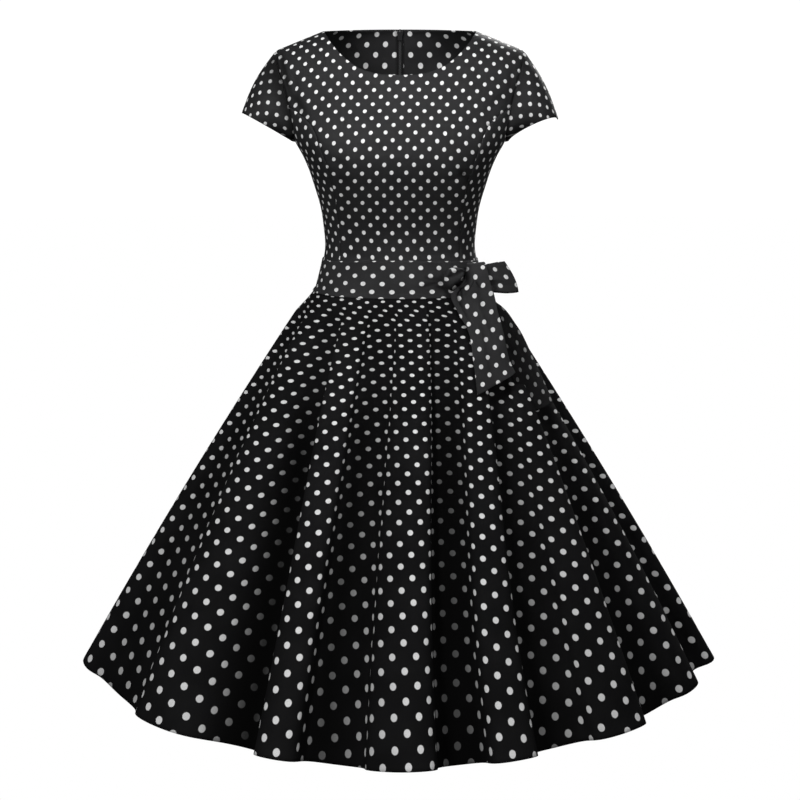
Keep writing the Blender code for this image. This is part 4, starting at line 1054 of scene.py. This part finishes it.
def plainFinish(name, colour, roughness, metallic=0.0):
    finish = Finish(name)
    grain = finish.noise(700.0, 2.0)
    finish.set(Base_Color=finish.mixColours(grain, (*(c * 0.7 for c in colour), 1), (*colour, 1)),
               Roughness=grain * 0.15 + roughness, Metallic=metallic)
    return finish.material


def tapeWeave(name, look):
    # herringbone tape with a painted shadow line near each edge
    finish = Finish(name)
    side, _, height = finish.parts("ShaderNodeTexCoord", "Object")
    aside = side.maths("ABSOLUTE", side)
    ribs = ((aside + height) * (2 * math.pi / look["pitch"])).sine()
    line = 1 - aside.maths("COMPARE", aside, look["lineAt"], look["lineHalf"])
    woven = finish.mixColours(ribs * 0.5 + 0.5, look["deep"], look["pale"])
    finish.set(Base_Color=finish.mixColours(line, look["seam"], woven), Normal=finish.bump(0.4, ribs),
               Roughness=0.85, Specular_IOR_Level=0.1)
    return finish.material


zipLook = {
    # rib pitch, where the painted shadow line lies and its half width, the two woven tones and the painted
    # shadow line's colour; then the teeth and stops
    "pitch": 0.0009, "lineAt": 0.0041, "lineHalf": 0.0005, "deep": grey(0.007, 0.0073),
    "pale": grey(0.0115, 0.012), "seam": grey(0.0008),
    "below": 0.0158, "toothPitch": 0.0014, "tooth": (0.0021, 0.00058, 0.0008), "overlap": 0.0004,
    "toothIn": 0.0022, "bevel": 0.00012, "end": -0.5,
    "stop": (0.0015, 0.0036, 0.0012), "stopSide": 0.00078, "stopDrop": 0.0013,
}


def makeTeeth():
    # two interlocking rows inside the seam, from below the slider down, and two stops at the top
    look = zipLook
    below = skirtPoints(np.array([float(skirt["backSeam"])]), np.linspace(0, 0.3, 60))[0][1:, 0]
    line = np.vstack([points["back"][::-1, -1], below])
    line[:, 0] = 0
    run = runAlong(line, 0)
    line = line[line[:, 2] > look["end"]]
    run = run[:len(line)]
    bm = bmesh.new()

    def place(distance):
        spot, ahead = (np.array([np.interp(distance + step, run, line[:, k]) for k in range(3)])
                       for step in (0.0, 0.0004))
        down = unit(ahead - spot)
        return spot, down, np.cross(down, [1, 0, 0])

    def block(centre, aside, down, inwards, size):
        turned = Matrix((Vector((1, 0, 0)), Vector(down), Vector(inwards))).transposed().to_4x4()
        spot = Matrix.Translation(centre + np.array([aside, 0, 0]))
        bmesh.ops.create_cube(bm, size=1.0, matrix=spot @ turned @ Matrix.Diagonal((*size, 1)))

    for count, distance in enumerate(np.arange(look["below"], run[-1] - 0.001, look["toothPitch"] / 2)):
        spot, down, inwards = place(distance)
        if inwards[1] > 0:
            inwards = -inwards
        hand = 1 if count % 2 else -1
        aside = hand * (look["tooth"][0] / 2 - look["overlap"])
        block(spot + inwards * look["toothIn"], aside, down, inwards, look["tooth"])
    spot, down, inwards = place(look["stopDrop"])
    for hand in (-1, 1):
        block(spot, hand * look["stopSide"], down, inwards, look["stop"])
    bmesh.ops.recalc_face_normals(bm, faces=bm.faces)
    bmesh.ops.bevel(bm, geom=bm.edges[:], offset=look["bevel"], segments=1, affect="EDGES")
    return linked("dress_zip_teeth", meshFrom(bm, "dress_zip_teeth"))


tapeFinish = tapeWeave("zip_tape_finish", zipLook)
metalFinish = plainFinish("zip_metal_finish", (0.03, 0.03, 0.032), 0.35, 0.6)
for name, finish in (("zip_tape_left", tapeFinish), ("zip_tape_right", tapeFinish),
                     ("zip_slider", metalFinish), ("zip_pull_tab", metalFinish)):
    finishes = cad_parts[name].data.materials
    finishes.clear()
    finishes.append(finish)
teeth = makeTeeth()
teeth.data.materials.append(plainFinish("zip_tooth_finish", (0.022, 0.022, 0.023), 0.45))
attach(teeth, "dress")
print("zip finished")


studio = {
    "cameraPlace": (0.0, -2.8, -0.036), "cameraDown": 10.41, "lens": 84.2,
    "floor": -1.42,
    "sky": 0.035, "backdrop": 1.05, "floorSeen": 1.0, "floorGlow": 0.03,
    # place, what it points at, width, height, power, spread
    "lamps": {
        "lamp_key": ((-1.5, -2.4, 0.9), (0, 0, -0.45), 0.7, 0.9, 100.0, 180),
        "lamp_top": ((0.1, -0.85, 0.95), (0.0, -0.05, -0.06), 0.5, 0.4, 1.4, 50),
        "lamp_right": ((1.8, -1.6, 0.6), (0.25, 0, -0.5), 0.8, 0.8, 34.0, 180),
        "lamp_back": ((0.8, 2.2, 0.8), (0, 0, -0.4), 1.0, 0.9, 70.0, 180),
    },
}
cameraData = bpy.data.cameras.new("camera")
cameraData.lens = studio["lens"]
camera = linked("camera", cameraData)
camera.location = studio["cameraPlace"]
camera.rotation_euler = (math.radians(90 - studio["cameraDown"]), 0, 0)
bpy.context.scene.camera = camera
for name, (place, aim, width, height, power, spreadAngle) in studio["lamps"].items():
    lampData = bpy.data.lights.new(name, "AREA")
    lampData.shape = "RECTANGLE"
    lampData.size, lampData.size_y = width, height
    lampData.energy = power
    lampData.spread = math.radians(spreadAngle)
    lamp = linked(name, lampData)
    lamp.location = place
    lamp.rotation_euler = (Vector(aim) - Vector(place)).to_track_quat("-Z", "Y").to_euler()
world = bpy.data.worlds.new("studio")
world.use_nodes = True
bpy.context.scene.world = world
nodes, links = world.node_tree.nodes, world.node_tree.links
background = nodes["Background"]
background.inputs["Color"].default_value = (1, 1, 1, 1)
seen = nodes.new("ShaderNodeLightPath")
strength = nodes.new("ShaderNodeMix")
strength.inputs[2].default_value = studio["sky"]
strength.inputs[3].default_value = studio["backdrop"]
links.new(seen.outputs["Is Camera Ray"], strength.inputs[0])
links.new(strength.outputs[0], background.inputs["Strength"])
bpy.context.scene.view_settings.view_transform = "Standard"

bm = bmesh.new()
bmesh.ops.create_circle(bm, cap_ends=True, segments=64, radius=14.0,
                        matrix=Matrix.Translation((0, 0, studio["floor"])))
floor = linked("floor", meshFrom(bm, "floor"))
floorFinish = Finish("floor_finish")
floorSeen = floorFinish.node("ShaderNodeLightPath", {}, {})
glow = floorFinish.node("ShaderNodeMix", {}, {
    0: floorSeen.outputs["Is Camera Ray"], 2: studio["floorGlow"], 3: studio["floorSeen"]})
floorFinish.set(Base_Color=(0, 0, 0, 1), Roughness=1.0, Specular_IOR_Level=0.0,
                Emission_Color=(1, 1, 1, 1), Emission_Strength=glow.outputs[0])
floor.data.materials.append(floorFinish.material)
print("studio ready")
